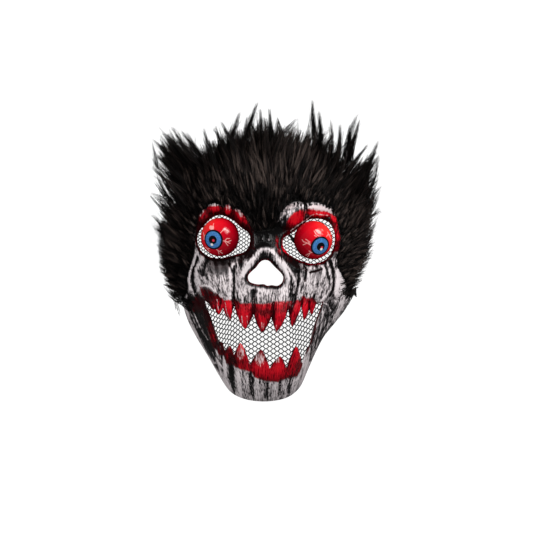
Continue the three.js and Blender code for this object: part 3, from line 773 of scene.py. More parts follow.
# %% Make a mesh and give it its place
def new_mesh(name, points_mm, faces, fields=None):
    """A mesh object from points in millimetres, with named values at its points."""
    mesh = bpy.data.meshes.new(name)
    faces = np.asarray(faces, np.int32)
    mesh.vertices.add(len(points_mm))
    mesh.vertices.foreach_set("co", (np.asarray(points_mm, np.float64) * MM).astype(np.float32).ravel())
    mesh.loops.add(faces.size)
    mesh.loops.foreach_set("vertex_index", faces.ravel())
    mesh.polygons.add(len(faces))
    mesh.polygons.foreach_set("loop_start", np.arange(0, faces.size, faces.shape[1], dtype=np.int32))
    mesh.polygons.foreach_set("use_smooth", np.full(len(faces), True))
    mesh.update(calc_edges=True)
    for key, values in (fields or {}).items():
        values = np.asarray(values, np.float32)
        kind, slot = ("FLOAT_VECTOR", "vector") if values.ndim == 2 else ("FLOAT", "value")
        mesh.attributes.new(key, kind, "POINT").data.foreach_set(slot, values.ravel())
    mesh.validate()
    piece = bpy.data.objects.new(name, mesh)
    bpy.context.collection.objects.link(piece)
    print(name, len(points_mm), "points,", len(faces), "faces")
    return piece


def take_place(piece, node):
    """The piece rides on the mask and stands for this solid of the frame."""
    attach(piece, "root")
    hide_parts(node)


# %% The painted skin and its back
FRONT_SPACING = (0.9, 0.58)  # near the rim, in the middle
BACK_SPACING = (2.3, 2.3)
THIN_EDGE = 1.3


def back_height(p):
    """The back stays a thin edge below the rolled rims of the openings, and never under the table."""
    return np.maximum(0, np.minimum(inner_height(p), plain_height(p) - edge_drop(p) - THIN_EDGE))


def strip(first_ring, second_ring):
    """Two triangles for each step between two closed rings of point numbers."""
    a, b = first_ring, np.roll(first_ring, -1)
    c, d = second_ring, np.roll(second_ring, -1)
    return np.vstack([np.stack([a, c, d], 1), np.stack([a, d, b], 1)])


def make_skin():
    q, faces, counts = triangulated(*FRONT_SPACING)
    p = rolled(q)
    back_q, back_faces, _ = triangulated(*BACK_SPACING)
    back_p = rolled(back_q, shrink=WALL)
    points = np.vstack([
        np.column_stack([p, np.maximum(0, face_height(p))]),
        np.column_stack([back_p, back_height(back_p)]),
    ])
    all_faces, first = [faces, back_faces[:, ::-1] + len(p)], 0
    for count in counts:
        ring = np.arange(first, first + count)
        all_faces.append(strip(ring, ring + len(p)))
        first += count
    return points, np.vstack(all_faces), p


skin_points, skin_faces, painted = make_skin()
print("skin", len(skin_points), "points, painted side", len(painted))

# %% [markdown]
# ## The paint job
#
# The vinyl is black. Pale paint was dragged over it with a nearly dry brush, so it only caught on the
# ridges and left streaks. Red was laid round the eyes, on the teeth and along the gums, and the dry
# brush went lightly over some of that too. An image texture is out of the question here, so each
# paint is a field: a number at each point of the mesh, made from the same lines and patches as the
# form. The shader then breaks its edge up into strokes.

# %% Where the pale paint caught
PALE_PATCHES = [  # middle, half length and width, turn, weight
    ((-1, 21), (22, 22), 0, -3),
    # painted highlights on the two knuckles of the bridge of the nose
    ((3, 12), (2.3, 3.2), 0, 2.5),
    ((-3.6, 12.6), (1.7, 1.7), 0, 2.6),
    ((-19, 6), (9, 15), 16, -2),
    ((18, 5), (8, 15), -22, -2),
    ((23, 19), (8, 16), 0, -1.5),
    ((27, -13), (14, 7), -40, -1.3),
    ((-28, -10), (9, 6), 30, -0.5),
    ((-1, -5), (10, 7), 0, -1.3),
    ((-47, -10), (19, 6), 4, -0.7),
    ((-47, -19), (15, 9), 0, -0.36),
    ((-83, -30), (6, 28), 0, -0.2),
    ((-74, -57), (13, 12), 0, -1.0),
    ((-67, -82), (11, 40), 24, -1.5),
    ((-58, -109), (7, 20), 24, -0.9),
    ((67, -56), (12, 8), -30, -0.42),
    ((80, -37), (10, 28), 0, 0.8),
    ((61, -82), (8, 30), -16, -0.6),
    ((-60, -47), (18, 8.5), -33, -0.52),
    ((-11.5, -42), (3.6, 4.5), 0, -1.2),
    ((-3, -39), (34, 13), 0, 0.5),
    ((18, -22), (8, 18), 30, 0.3),
    ((-22, -22), (7, 18), -34, 0.22),
    ((50, -36), (17, 15), 0, 0.3),
    ((-50, -35), (20, 13), 0, 0.22),
    ((0, -138), (44, 26), 0, 0.26),
    ((41, -122), (6, 27), -14, 0.35),
    ((0, -142), (42, 20), 0, 0.06),
]
NOSE_ARCH = [  # the ridge over the nose
    (-24, -25), (-17, -12.6), (-9.5, -3), (-5, 1.6), (3, 2), (8.4, -2), (13.6, -10.5), (21, -22), (24, -30),
]
PAINT_LINES = [  # strokes that the brush left of its own: line, width, weight
    (NOSE_ARCH, 2.5, 1.0),
    ([(-86, -59), (-80, -77), (-68, -100), (-56, -122), (-41, -145)], 1.2, 0.8),
    ([(-80.5, -64), (-76.5, -73), (-72.5, -82)], 0.9, 1.3),
    ([(-75.5, -66), (-70.5, -79), (-66, -89)], 0.7, 1.1),
    ([(-69.5, -77), (-66, -86), (-61.5, -94)], 0.9, 1.5),
    ([(-66, -97), (-61, -108), (-55.5, -119)], 0.9, 1.1),
    ([(-51.5, -105), (-53, -119.5), (-48, -131)], 1.0, 0.8),
]
PALE_AVERAGE = 0.62
PAINT_ON_RIDGES = 0.5  # cover for each millimetre that a line stands out
PAINT_LEFT_OUT = 1.0  # and how much less there is for each millimetre of a crease
BARE_EDGES = {"nose": 4.6, "left eye": 3.8, "right eye": 4.2}
BARE_WEIGHT = 1.1


def pale_cover(p):
    lines = line_relief(p, CHEEK_LINES + JAW_LINES)
    cover = PALE_AVERAGE + PAINT_ON_RIDGES * np.maximum(0, lines) + PAINT_LEFT_OUT * np.minimum(0, lines)
    cover += patches(p, PALE_PATCHES) + line_relief(p, PAINT_LINES)
    for name, reach in BARE_EDGES.items():
        cover -= BARE_WEIGHT * (1 - ramp(edge_distance(p, name), 0.5 * reach, reach))
    return cover


print("pale patches", len(PALE_PATCHES), "and strokes", len(PAINT_LINES))

# %% Where the brush wiped it smooth
CALM_PATCHES = [  # below zero it is rougher than elsewhere
    ((-48, -16), (17, 11), 0, 1),
    ((53.5, -26), (11, 8), 0, 0.6),
    ((-30, -7), (9, 7), 30, 0.4),
    ((-3, -38), (30, 6), 0, 0.75),
    ((-20, -22), (5, 16), -34, 0.5),
    ((42, -124), (6, 27), -14, 0.6),
    ((-4, -140), (46, 26), 0, -0.9),
    ((64, -84), (14, 42), -18, -0.7),
    ((-66, -82), (12, 36), 22, 0.1),
    ((46, 48), (28, 10), -8, -0.9),
    ((-60, -47), (17, 9), -33, 0.9),
    ((-3, -62), (60, 10), 0, -0.3),
    ((61, -82), (9, 30), -16, 0.6),
    ((66, -57), (13, 9), -30, 0.6),
    ((-1, 16), (26, 18), 0, 0.95),
]
print("calm and rough patches", len(CALM_PATCHES))

# %% Where the red paint lies
UPPER_GUM = [
    (-70.5, -48.5), (-62, -51), (-56.5, -52.5), (-53, -48.5), (-51, -44), (-48, -48.5), (-44, -52),
    (-36, -51.5), (-31.5, -50.5), (-26, -55), (-16, -54.5), (-4, -55.5), (4, -54.5), (10.5, -53), (21, -53),
    (31.5, -51.5), (36, -51.5), (39.5, -45.5), (42, -50), (46.5, -49.5), (49, -48), (51, -50.5),
    (53.5, -54.5), (58, -54.5),
]
LOWER_GUM = [
    (-52.5, -103), (-49.5, -110), (-44.5, -110), (-42, -118.5), (-33.5, -120), (-31.5, -123), (-21, -125.5),
    (-14.5, -127), (-12.5, -132.5), (-2, -136.5), (11.5, -138), (24, -133.5), (32.5, -132.5), (37, -125),
    (39, -117.5),
]
RED_LINES = [  # line, width, weight
    ([(-63, -64), (-60, -73.5), (-58, -82), (-55, -91), (-53.5, -99)], 4.4, 1.0),
    ([(59.5, -54), (52.6, -75), (48.5, -93), (42.5, -108)], 1.1, 0.9),
    ([(-13, 14), (-13.5, 8), (-12, 2)], 1.2, 0.8),
    ([(11.5, 14), (11.5, 5), (15, -3)], 1.4, 1.1),
    ([(73, 31), (76.5, 16), (74.5, 2)], 3, 1.3),
    ([(19, 16), (25, 21.5), (33.5, 27.5), (42, 33), (52, 36)], 1.6, 1.0),
    ([(-71, 22), (-64, 33), (-50, 39), (-38, 37), (-26, 28), (-17, 18)], 4.5, 1.1),
]
RED_PATCHES = [
    ((-60, -47), (18, 9), -33, 0.84),
    ((-71, -56), (11, 12), 0, 0.95),
    ((-20, 10), (6, 14), 20, 0.7),
    ((-53.5, 42), (13, 8), 0, 1.6),
    ((-39.5, 42), (7, 8.5), 0, 1.6),
    ((-25, 33), (18, 7), -48, 1.6),
    ((-68, 35), (13, 6), 60, 1.5),
    ((-69, 24), (8, 10), 60, 1.0),
    ((31.5, 33), (16, 8.5), 46, 1.25),
    ((24, 25), (10, 5), 38, 0.9),
    ((56, 40), (18, 7), -4, 1.6),
    ((71.5, 33), (6, 5), -66, 1.4),
    ((24, -9), (12, 5), -32, 0.45),
]
RED_EDGES = {"left eye": 2.4, "right eye": 3, "nose": 1.9}
GUM_SOFTNESS = 3


def gum_paint(p, gum, teeth, side):
    """The band from a gum line to the ends of the teeth, with a soft edge along the gum."""
    line = np.array(gum)
    depth = side * (p[:, 1] - np.interp(p[:, 0], line[:, 0], line[:, 1]))
    band = np.array([*(line - (0, GUM_SOFTNESS * side)), *teeth])
    return inside(p, band) * ramp(depth, -GUM_SOFTNESS, GUM_SOFTNESS)


def red_cover(p):
    covers = [line_relief(p, [row]) for row in RED_LINES] + [patches(p, [row]) for row in RED_PATCHES]
    covers += [1 - ramp(edge_distance(p, name), 0.3 * width, width) for name, width in RED_EDGES.items()]
    upper = [MOUTH_RIGHT[0], *teeth_edge(UPPER_ROOTS, UPPER_TIPS)[::-1], MOUTH_LEFT[-1]]
    covers.append(gum_paint(p, UPPER_GUM, upper, -1))
    covers.append(gum_paint(p, LOWER_GUM, teeth_edge(LOWER_ROOTS, LOWER_TIPS), 1))
    return np.maximum.reduce(covers)


print("red patches", len(RED_PATCHES), "and lines", len(RED_LINES))

# %% How bright the red is, with its painted light and shade
# Painted light and shade on the red: brighter on the tops of the folds, and darker in the inner corners of
# the eyes, beside the bridge and under the outer left fold.
BRIGHT_PATCHES = [  # middle, half length and width, turn, weight, as in the lists that follow
    ((-53.5, 45), (7, 4), 4, 0.3),
    ((-40, 43), (4.5, 5.5), 0, 0.35),
    ((-26, 36), (11, 3.6), -48, 0.35),
    ((-67, 38), (8, 2.6), 62, 0.2),
    ((33, 36), (11, 8), 38, 0.4),
    ((-57, -86), (4, 14), 16, 0.2),
    ((56, 40), (18, 6), -4, 0.45),
    ((72, 34), (6, 4), -66, 0.5),
    ((-26.8, -100), (7, 8), 0, 0.4),
    ((34, -104), (5, 12), 0, 0.35),
    ((2, -55), (36, 8), 0, 0.36),
    ((41, -58), (12, 14), 0, 0.36),
    ((-44, -57), (12, 13), 0, 0.36),
    ((75.5, 18), (6, 22), 0, 0.42),
    ((0, -128), (38, 14), 0, 0.36),
    ((38, -6), (28, 8), -18, 0.4),
    ((19, 4), (6, 14), 0, 0.45),
    ((12, 6), (4, 12), 0, 0.2),
]
DARK_RED_PATCHES = [
    ((-66, -62), (12, 16), 10, 0.6),
    ((-62, -45), (12, 8), 0, 0.05),
    ((-46, -100), (8, 10), 0, 0.3),
    ((-34, -112), (5, 10), 0, 0.2),
    ((-18, 8), (9, 16), 0, 0.36),
    ((-69, 24), (9, 12), 60, 0.45),
    ((24, -9), (12, 6), -32, 0.5),
    ((20, 24), (9, 7), 30, 0.35),
    ((-22, 24), (8, 5), -40, 0.3),
]
print("bright patches", len(BRIGHT_PATCHES), "and dark ones", len(DARK_RED_PATCHES))

# %% Where the dry brush crossed the red, and the painted highlights on it
FROST_PATCHES = [
    ((-68, 39.5), (7, 2.8), 58, 1.3),
    ((-54, 48.5), (8, 3), 2, 1.4),
    ((-40, 46), (5, 5), 0, 1.15),
    ((-28, 40), (11, 3.2), -48, 1.3),
    ((16.5, 37), (16, 6), 54, 0.85),
    ((27, 47.5), (13, 5.5), 8, 1.1),
    ((56, 46.5), (18, 6), -6, 1.0),
    ((56, 43), (15, 3), -3, 0.6),
    ((69, 42), (4, 5), -40, 1.0),
    ((72.5, 36.5), (2.5, 2.5), 0, 0.9),
    ((-26.5, -106), (6, 13), 0, 1.2),
    ((-6.5, -113), (8, 13), 0, 1.3),
    ((12, -114), (4, 7), 0, 1.1),
    ((-39, -101), (3.5, 6), 0, 0.7),
    ((-48, -100), (2.5, 6), 0, 0.7),
    ((31, -103), (2, 5), 0, 0.7),
    ((0, -53.5), (30, 5), 0, 0.75),
]
FROST_AND_HIGHLIGHT_LINES = [  # painted highlights: thin pale lines on the teeth and along the lid of the right eye
    ([(-51.5, -51), (-50, -62)], 0.7, 1.15),
    ([(-43, -54), (-40.5, -66), (-38, -71)], 0.7, 1.25),
    ([(-25.5, -68), (-24.5, -78)], 0.7, 1.15),
    ([(-20, -68), (-19.5, -76)], 0.6, 1.15),
    ([(-5, -75), (-3.5, -82.5), (-2, -76)], 0.7, 1.15),
    ([(10.5, -78), (12, -83)], 0.7, 1.05),
    ([(26, 21), (34, 27.5), (42, 32.5), (47, 37), (53, 39.5)], 0.9, 1.25),
    ([(54, 38.5), (65, 37.5)], 0.8, 1.25),
    ([(41.5, 45), (50, 46.5), (60, 45), (68.5, 41)], 1.6, 1.1),
]
print("frosted patches", len(FROST_PATCHES), "and painted_highlights", len(FROST_AND_HIGHLIGHT_LINES))

# %% The painted light and shade of the red, and the frost with the painted highlights
PLAIN_TONE = 0.1
# Painted light on the raised tops of the folds and the teeth.
RAISED_TONE = 0.5  # how much brighter the top of a full fold or tooth is
FULL_FOLD = 8
FULL_TOOTH = 5
FROST_START = 0.6


def red_light_and_shade_tone(p):
    """Painted shade and light on the red: from nearly black in the creases to bright on what stands out."""
    tone = PLAIN_TONE + RAISED_TONE * (fold_relief(p) / FULL_FOLD + teeth_relief(p) / FULL_TOOTH)
    tone += patches(p, BRIGHT_PATCHES) - patches(p, DARK_RED_PATCHES)
    return tone * np.exp(np.minimum(0, line_relief(p, SKIN_LINES)))


def frost_and_highlight_cover(p):
    return patches(p, FROST_PATCHES) + line_relief(p, FROST_AND_HIGHLIGHT_LINES) - FROST_START


print("average tone of the red", red_light_and_shade_tone(painted).mean().round(2))

# %% Put the paint on the moulding
BARE = -1


def on_front(values, rest=0.0):
    """The back of the moulding is bare black vinyl, so its points get one value."""
    values = np.asarray(values, float)
    return np.concatenate([values, np.full((len(skin_points) - len(painted), *values.shape[1:]), rest)])


paint_fields = {
    "pale": on_front(pale_cover(painted), BARE),
    "red": on_front(red_cover(painted)),
    "blood": on_front(red_light_and_shade_tone(painted)),
    "frost": on_front(frost_and_highlight_cover(painted), BARE),
    "ridge": on_front(grooves(painted), 0.5),
    "bristle": on_front(1 - patches(painted, CALM_PATCHES)),
    "grain": on_front(np.stack([*grain(painted), np.zeros(len(painted))], 1)),
}
skin = new_mesh("moulded_face", skin_points, skin_faces, fields=paint_fields)
take_place(skin, "mask_face")

# %% [markdown]
# ## Brush strokes in a shader
#
# A dry brush leaves paint where the surface is high and where the bristles happened to be loaded.
# So a stroke mask adds three things: how much paint the field asks for, how high the ridge is, and a
# noise stretched along the grain. A steep ramp then cuts the sum into paint and no paint. The pale
# coat, the edge of the red and the frost on it all need this, so it is a node group.


# %% Helpers for nodes
def find_input(node, key):
    """An input by its name with _ for a space, or by its number after an underscore."""
    if key[1:].isdigit():
        return node.inputs[int(key[1:])]
    return node.inputs[key.replace("_", " ")]


def fill(tree, node, **inputs):
    """Link a node's inputs to sockets or nodes, and set those that are given a plain value."""
    for key, value in inputs.items():
        socket = find_input(node, key)
        if isinstance(value, bpy.types.NodeSocket):
            tree.links.new(value, socket)
        elif isinstance(value, bpy.types.Node):
            tree.links.new(value.outputs[0], socket)
        else:
            socket.default_value = value


def adder(tree):
    """A function that adds a node, sets its fields, and links or sets its inputs."""

    def add(kind, settings=None, **inputs):
        node = tree.nodes.new("ShaderNode" + kind)
        for key, value in (settings or {}).items():
            setattr(node, key, value)
        fill(tree, node, **inputs)
        return node

    add.tree = tree
    return add


def new_nodes(name):
    """(material, function that adds a node, its Principled shader)"""
    material = bpy.data.materials.new(name)
    material.use_nodes = True
    return material, adder(material.node_tree), material.node_tree.nodes["Principled BSDF"]


def field(add, name, kind="Fac"):
    return add("Attribute", {"attribute_name": name}).outputs[kind]


def noise(add, place, scale=1.0, detail=2.0):
    return add("TexNoise", Vector=place, Scale=scale, Detail=detail)


def maths(add, operation, a, b):
    return add("Math", {"operation": operation}, _0=a, _1=b).outputs[0]


def times(add, a, b):
    return maths(add, "MULTIPLY", a, b)


def plus(add, a, b):
    return maths(add, "ADD", a, b)


def mixed(add, share, first, second):
    return add("MixRGB", Fac=share, Color1=first, Color2=second).outputs[0]


def between(add, value, low, high):
    """Smooth step of a value: zero at low, one at high, which may be the smaller of the two."""
    node = add("MapRange", {"interpolation_type": "SMOOTHSTEP"}, Value=value, From_Min=low, From_Max=high)
    return node.outputs[0]


def new_group(name, inputs, outputs):
    """A shader node group: (tree, function that adds a node, the given sockets, the node to end at)."""
    tree = bpy.data.node_groups.new(name, "ShaderNodeTree")
    for in_out, sockets in (("INPUT", inputs), ("OUTPUT", outputs)):
        for key, kind in sockets.items():
            tree.interface.new_socket(key, in_out=in_out, socket_type="NodeSocket" + kind)
    start, end = tree.nodes.new("NodeGroupInput"), tree.nodes.new("NodeGroupOutput")
    return tree, adder(tree), start.outputs, end


# %% The brush stroke group
STROKE_NOISES = [  # scale across and along the grain, share
    ((0.4, 0.06, 1), 0.26),
    ((0.85, 0.13, 1), 0.47),
    ((0.7, 0.36, 1), 0.27),
]
NOISE_MIDDLE = 0.5
HALF_COVER = 0.5  # where paint and no paint meet


def brush_group():
    tree, add, given, end = new_group(
        "brush strokes",
        {"Cover": "Float", "Ridge": "Float", "Grain": "Vector", "Ridge Weight": "Float",
         "Stroke Weight": "Float", "Softness": "Float"},
        {"Mask": "Float"},
    )
    first, second, third = (
        times(add, noise(add, add("Mapping", Vector=given["Grain"], Scale=scale)), share)
        for scale, share in STROKE_NOISES
    )
    loaded = maths(add, "SUBTRACT", plus(add, plus(add, first, second), third), NOISE_MIDDLE)
    ridges = times(add, maths(add, "SUBTRACT", given["Ridge"], NOISE_MIDDLE), given["Ridge Weight"])
    total = plus(add, plus(add, given["Cover"], times(add, loaded, given["Stroke Weight"])), ridges)
    low = maths(add, "SUBTRACT", HALF_COVER, given["Softness"])
    high = plus(add, HALF_COVER, given["Softness"])
    fill(tree, end, Mask=between(add, total, low, high))
    return tree


brush_strokes = brush_group()
print("brush strokes", len(brush_strokes.nodes), "nodes")


def strokes_of(add, cover, ridge_weight, stroke_weight, softness):
    node = add(
        "Group", {"node_tree": brush_strokes},
        Cover=field(add, cover), Ridge=field(add, "ridge"), Grain=field(add, "grain", "Vector"),
        Ridge_Weight=ridge_weight, Stroke_Weight=stroke_weight, Softness=softness,
    )
    return node.outputs["Mask"]


# %% The painted vinyl
PALE_TONES = [  # from bare vinyl to the thickest paint
    (0.0, (0.0035, 0.003, 0.003, 1)), (0.2, (0.021, 0.018, 0.0185, 1)), (0.42, (0.088, 0.077, 0.079, 1)),
    (0.62, (0.2, 0.175, 0.178, 1)), (0.82, (0.4, 0.352, 0.356, 1)), (1.0, (0.7, 0.632, 0.636, 1)),
]
# the red, from its painted shade to its painted light
RED_LIGHT_AND_SHADE_TONES = [
    (0.0, (0.016, 0.0003, 0.001, 1)), (0.28, (0.11, 0.0004, 0.003, 1)), (0.6, (0.42, 0.0008, 0.009, 1)),
    (1.0, (0.68, 0.007, 0.016, 1)),
]
# the pale of the frost and of the painted highlights on the red
FROST_AND_HIGHLIGHT_TONE = (0.66, 0.54, 0.54, 1)
STROKES = {  # how much the ridges count, how much the strokes do, and how soft an edge is
    "pale": (1.3, 7.4, 0.9),
    "red": (0.2, 2.6, 0.25),
    "frost": (0.4, 4.5, 0.38),
    "blood": (0.3, 2, 0.55),
}
BARE_ROUGHNESS = 0.22
DRY_PAINT = 0.34  # how much rougher the pale paint is
WET_PAINT = 0.04  # and how much smoother the red
SCRATCH_SCALE = (1, 0.2, 1)


def toned(add, value, tones):
    """A colour ramp over a value, with a stop for each tone."""
    node = add("ValToRGB", Fac=value)
    stops = node.color_ramp.elements
    stops[0].color, stops[1].color = tones[0][1], tones[-1][1]
    for place, colour in tones[1:-1]:
        stops.new(place).color = colour
    return node.outputs[0]


def painted_vinyl():
    material, add, shader = new_nodes("painted vinyl")
    ridges, bristles, softness = STROKES["pale"]
    pale = strokes_of(add, "pale", ridges, times(add, field(add, "bristle"), bristles), softness)
    red, frost, blood = (strokes_of(add, name, *STROKES[name]) for name in ("red", "frost", "blood"))
    colour = mixed(add, red, toned(add, pale, PALE_TONES), toned(add, blood, RED_LIGHT_AND_SHADE_TONES))
    rough = plus(add, times(add, pale, DRY_PAINT), BARE_ROUGHNESS)
    hairs = add("Mapping", Vector=field(add, "grain", "Vector"), Scale=SCRATCH_SCALE)
    scratch = noise(add, hairs, detail=3.0)
    fill(
        add.tree, shader, Base_Color=mixed(add, frost, colour, FROST_AND_HIGHLIGHT_TONE), Specular_IOR_Level=0.13,
        Roughness=maths(add, "SUBTRACT", rough, times(add, red, WET_PAINT)),
        Normal=add("Bump", Height=scratch, Strength=0.6, Distance=0.0009),
    )
    return material


skin.data.materials.append(painted_vinyl())
print("painted vinyl", len(skin.data.materials[0].node_tree.nodes), "nodes")

# %% [markdown]
# ## The eyeballs
#
# Each eye is a moulded plastic half ball, glued into the socket on the net. It is red, with a blue
# iris that looks outward and a few pale veins. The red has painted shade on the side of the nose and
# painted light on the outer side and the top, and the pale patches and the glint on the pupil are
# painted highlights. A ready-made sphere has its poles in the wrong place and no flat back, so we turn
# a dome on the socket's own axis: rings of points from the pole down to the glued edge, and then a
# flat underside.

# %% Turn a ball on its socket's axis
BALL_RADIUS = 20.3
BALL_RAISED = 2.5  # how far the ball's middle is above the wall's back
RINGS = 74
ROUND = 270
UNDERSIDE_RINGS = 5


def ball_middle(eye):
    return np.array([*eye["at"], eye["height"] - WALL + BALL_RAISED])


def make_ball(eye):
    """(points, faces, how many points are on the round side)"""
    axis = unit(np.array([SOCKET_SLOPE * np.sign(eye["at"][0]), 0, 1]))
    first = unit(np.cross([0, 1, 0], axis))
    second = np.cross(axis, first)
    cut = math.pi / 2 + math.asin(BALL_RAISED / math.hypot(1, SOCKET_SLOPE) / BALL_RADIUS)
    around = np.arange(ROUND) * 2 * math.pi / ROUND
    circle = np.cos(around)[:, None] * first + np.sin(around)[:, None] * second
    rings = []
    for down in np.arange(1, RINGS + 1) * cut / RINGS:
        rings.append(BALL_RADIUS * (math.cos(down) * axis + math.sin(down) * circle))
    for share in np.linspace(1, 0, UNDERSIDE_RINGS + 1)[1:-1]:
        rings.append(BALL_RADIUS * (math.cos(cut) * axis + math.sin(cut) * share * circle))
    points = np.vstack([[BALL_RADIUS * axis], *rings, [BALL_RADIUS * math.cos(cut) * axis]])
    numbers = [1 + k * ROUND + np.arange(ROUND) for k in range(len(rings))]
    top, last = numbers[0], numbers[-1]
    fan = np.stack([np.zeros(ROUND, int), top, np.roll(top, -1)], 1)
    floor = np.stack([np.full(ROUND, len(points) - 1), np.roll(last, -1), last], 1)
    walls = [strip(upper, lower) for upper, lower in zip(numbers, numbers[1:])]
    return points + ball_middle(eye), np.vstack([fan, *walls, floor]), 1 + RINGS * ROUND


print("a ball stands", round(BALL_RADIUS + BALL_RAISED - WALL, 1), "mm out of its socket")

# %% Iris, veins, and patches of painted highlight
# The pale patches of each eye are painted highlights, some with veins through them, and the glint is a
# painted highlight on the pupil.
EYE_PAINT = {
    "left": {
        # the level of the painted light and shade on this ball's red
        "sunny": 0.62,
        "iris": (-56, 11.5),
        "dot": (-55.2, 11),
        "glint": (-56.8, 6.6),
        "veins": [
            [(-45.7, 10.5), (-43.1, 10.5), (-39.9, 9.5), (-36.8, 11)],
            [(-43.1, 10.5), (-41, 13.1), (-38.3, 13)],
            [(-42, 10), (-37.8, 7.9)],
            [(-43.3, 10.2), (-39.9, 5.5)],
            [(-52, 1.6), (-49.4, 0), (-45.7, -2.6)],
            [(-50.4, 0.5), (-49.4, -3.2)],
            [(-48.8, -0.3), (-46.7, 0.6)],
            [(-63.5, 4), (-61.4, 2.1), (-59.9, -0.5)],
            [(-62, 2.4), (-59.5, 2.5)],
            [(-65.9, 19.4), (-64.9, 15.8), (-65.1, 12.1)],
            [(-64.8, 15.8), (-63, 17.3)],
            [(-47.7, 18.9), (-45.1, 21.6), (-43.3, 23.7)],
            [(-54.9, 28.9), (-56, 24.7), (-56.4, 21)],
        ],
        "pale": [((-57, 24.2), (2.9, 3), 45, 2.6), ((-41.6, 21.4), (4.3, 1.8), -40, 1.4)],
    },
    "right": {
        "sunny": 0.66,
        "iris": (57.6, 4.4),
        "dot": (58.6, 3.6),
        "glint": (58.0, 1.8),
        "veins": [
            [(47.2, 5.7), (44.6, 7.4), (42, 8.9), (39.4, 9.5), (37.8, 11.8)],
            [(43.1, 8.2), (38.9, 6.4)],
            [(44.6, 7.4), (44.1, 10.7), (41.5, 12.3)],
            [(45.8, 6.5), (45.7, 10)],
            [(49.4, -1.1), (46.2, -2.1), (42, -4.4)],
            [(46.2, -2.1), (43.6, -6.3)],
            [(47.8, -1.6), (45.1, 0)],
            [(64.7, 19.9), (66.2, 16.3), (68.2, 13.1)],
            [(66.2, 16.3), (67.8, 17.9)],
            [(65.5, 17.9), (63.6, 15.3)],
            [(54.6, 15.8), (52.1, 17.4), (50.4, 21)],
            [(52.9, 15.1), (50.8, 16.2)],
        ],
        "pale": [((55.7, 21.4), (5.2, 4.1), -20, 1.1)],
    },
}
print("veins", {side: len(paint["veins"]) for side, paint in EYE_PAINT.items()})

# %% Measure the paint over the ball
VEIN_WIDTH = 0.42
VEIN_EDGE = (0.2, 1.3)  # a vein is full paint up to the first, in widths, and gone at the second
# The pale paint on a ball is its painted highlights.
PAINT_START = 1  # how far over the ball's middle the pale paint starts
# Painted light and shade: the red is lighter on the outer side and the top of each ball, and darker towards
# the nose.
PAINTED_LIGHT_OUTWARD = 0.3  # the red is brighter on the outer side of each ball, and towards its top
PAINTED_LIGHT_UPWARD = 0.22


def eye_fields(points, eye, paint, round_side):
    """Distances over the ball from the iris and its dots, how much pale paint of the painted highlights there
    is, and the painted light and shade of the red.
    """
    middle = ball_middle(eye)

    def over_ball(spot):
        away = np.array(spot) - middle[:2]
        aim = np.array([*away, math.sqrt(BALL_RADIUS**2 - away @ away)]) / BALL_RADIUS
        return BALL_RADIUS * np.arccos(np.clip((points - middle) @ aim / BALL_RADIUS, -1, 1))

    flat = points[:, :2]
    vein = np.zeros(len(points))
    for line in paint["veins"]:
        vein = np.maximum(vein, 1 - ramp(line_distance(flat, line) / VEIN_WIDTH, *VEIN_EDGE))
    pale = patches(flat, paint["pale"])
    shown = (points[:, 2] > middle[2] + PAINT_START) & (np.arange(len(points)) < round_side)
    outward = np.sign(middle[0]) * (points[:, 0] - middle[0]) / BALL_RADIUS
    upward = (points[:, 1] - middle[1]) / BALL_RADIUS
    return {
        "iris": over_ball(paint["iris"]),
        "dot": over_ball(paint["dot"]),
        "glint": over_ball(paint["glint"]),
        "vein": vein * shown,
        "pale": pale * shown,
        "sunny": paint["sunny"] + PAINTED_LIGHT_OUTWARD * outward + PAINTED_LIGHT_UPWARD * upward,
    }


# %% The eye's paint and gloss
# the ball's red, from its painted shade to its painted light
EYE_RED = [
    (0.0, (0.03, 0.0, 0.0015, 1)), (0.3, (0.17, 0.0003, 0.005, 1)), (0.6, (0.46, 0.001, 0.009, 1)),
    (0.85, (0.72, 0.006, 0.014, 1)), (1.0, (0.9, 0.035, 0.028, 1)),
]
IRIS_BLUE = (0.06, 0.2, 0.45, 1)
IRIS_DEEP = (0.03, 0.115, 0.31, 1)
# the pale pink of the veins and of the painted highlights
VEIN_AND_HIGHLIGHT_PINK = (0.95, 0.5, 0.46, 1)
INK = (0.003, 0.003, 0.006, 1)
PUPIL_BLACK = (0.002, 0.002, 0.003, 1)
PUPIL_DOT = (0.62, 0.03, 0.05, 1)
PAINTED_GLINT = (0.85, 0.8, 0.76, 1)
LINE_REACH = 11.1  # how far the dark line, the blue and the pupil reach from the iris's middle
BLUE_REACH = 9.1
PUPIL_REACH = 4.6
RING_EDGE = 0.2
VEIN_AND_HIGHLIGHT_STRENGTH = 0.72


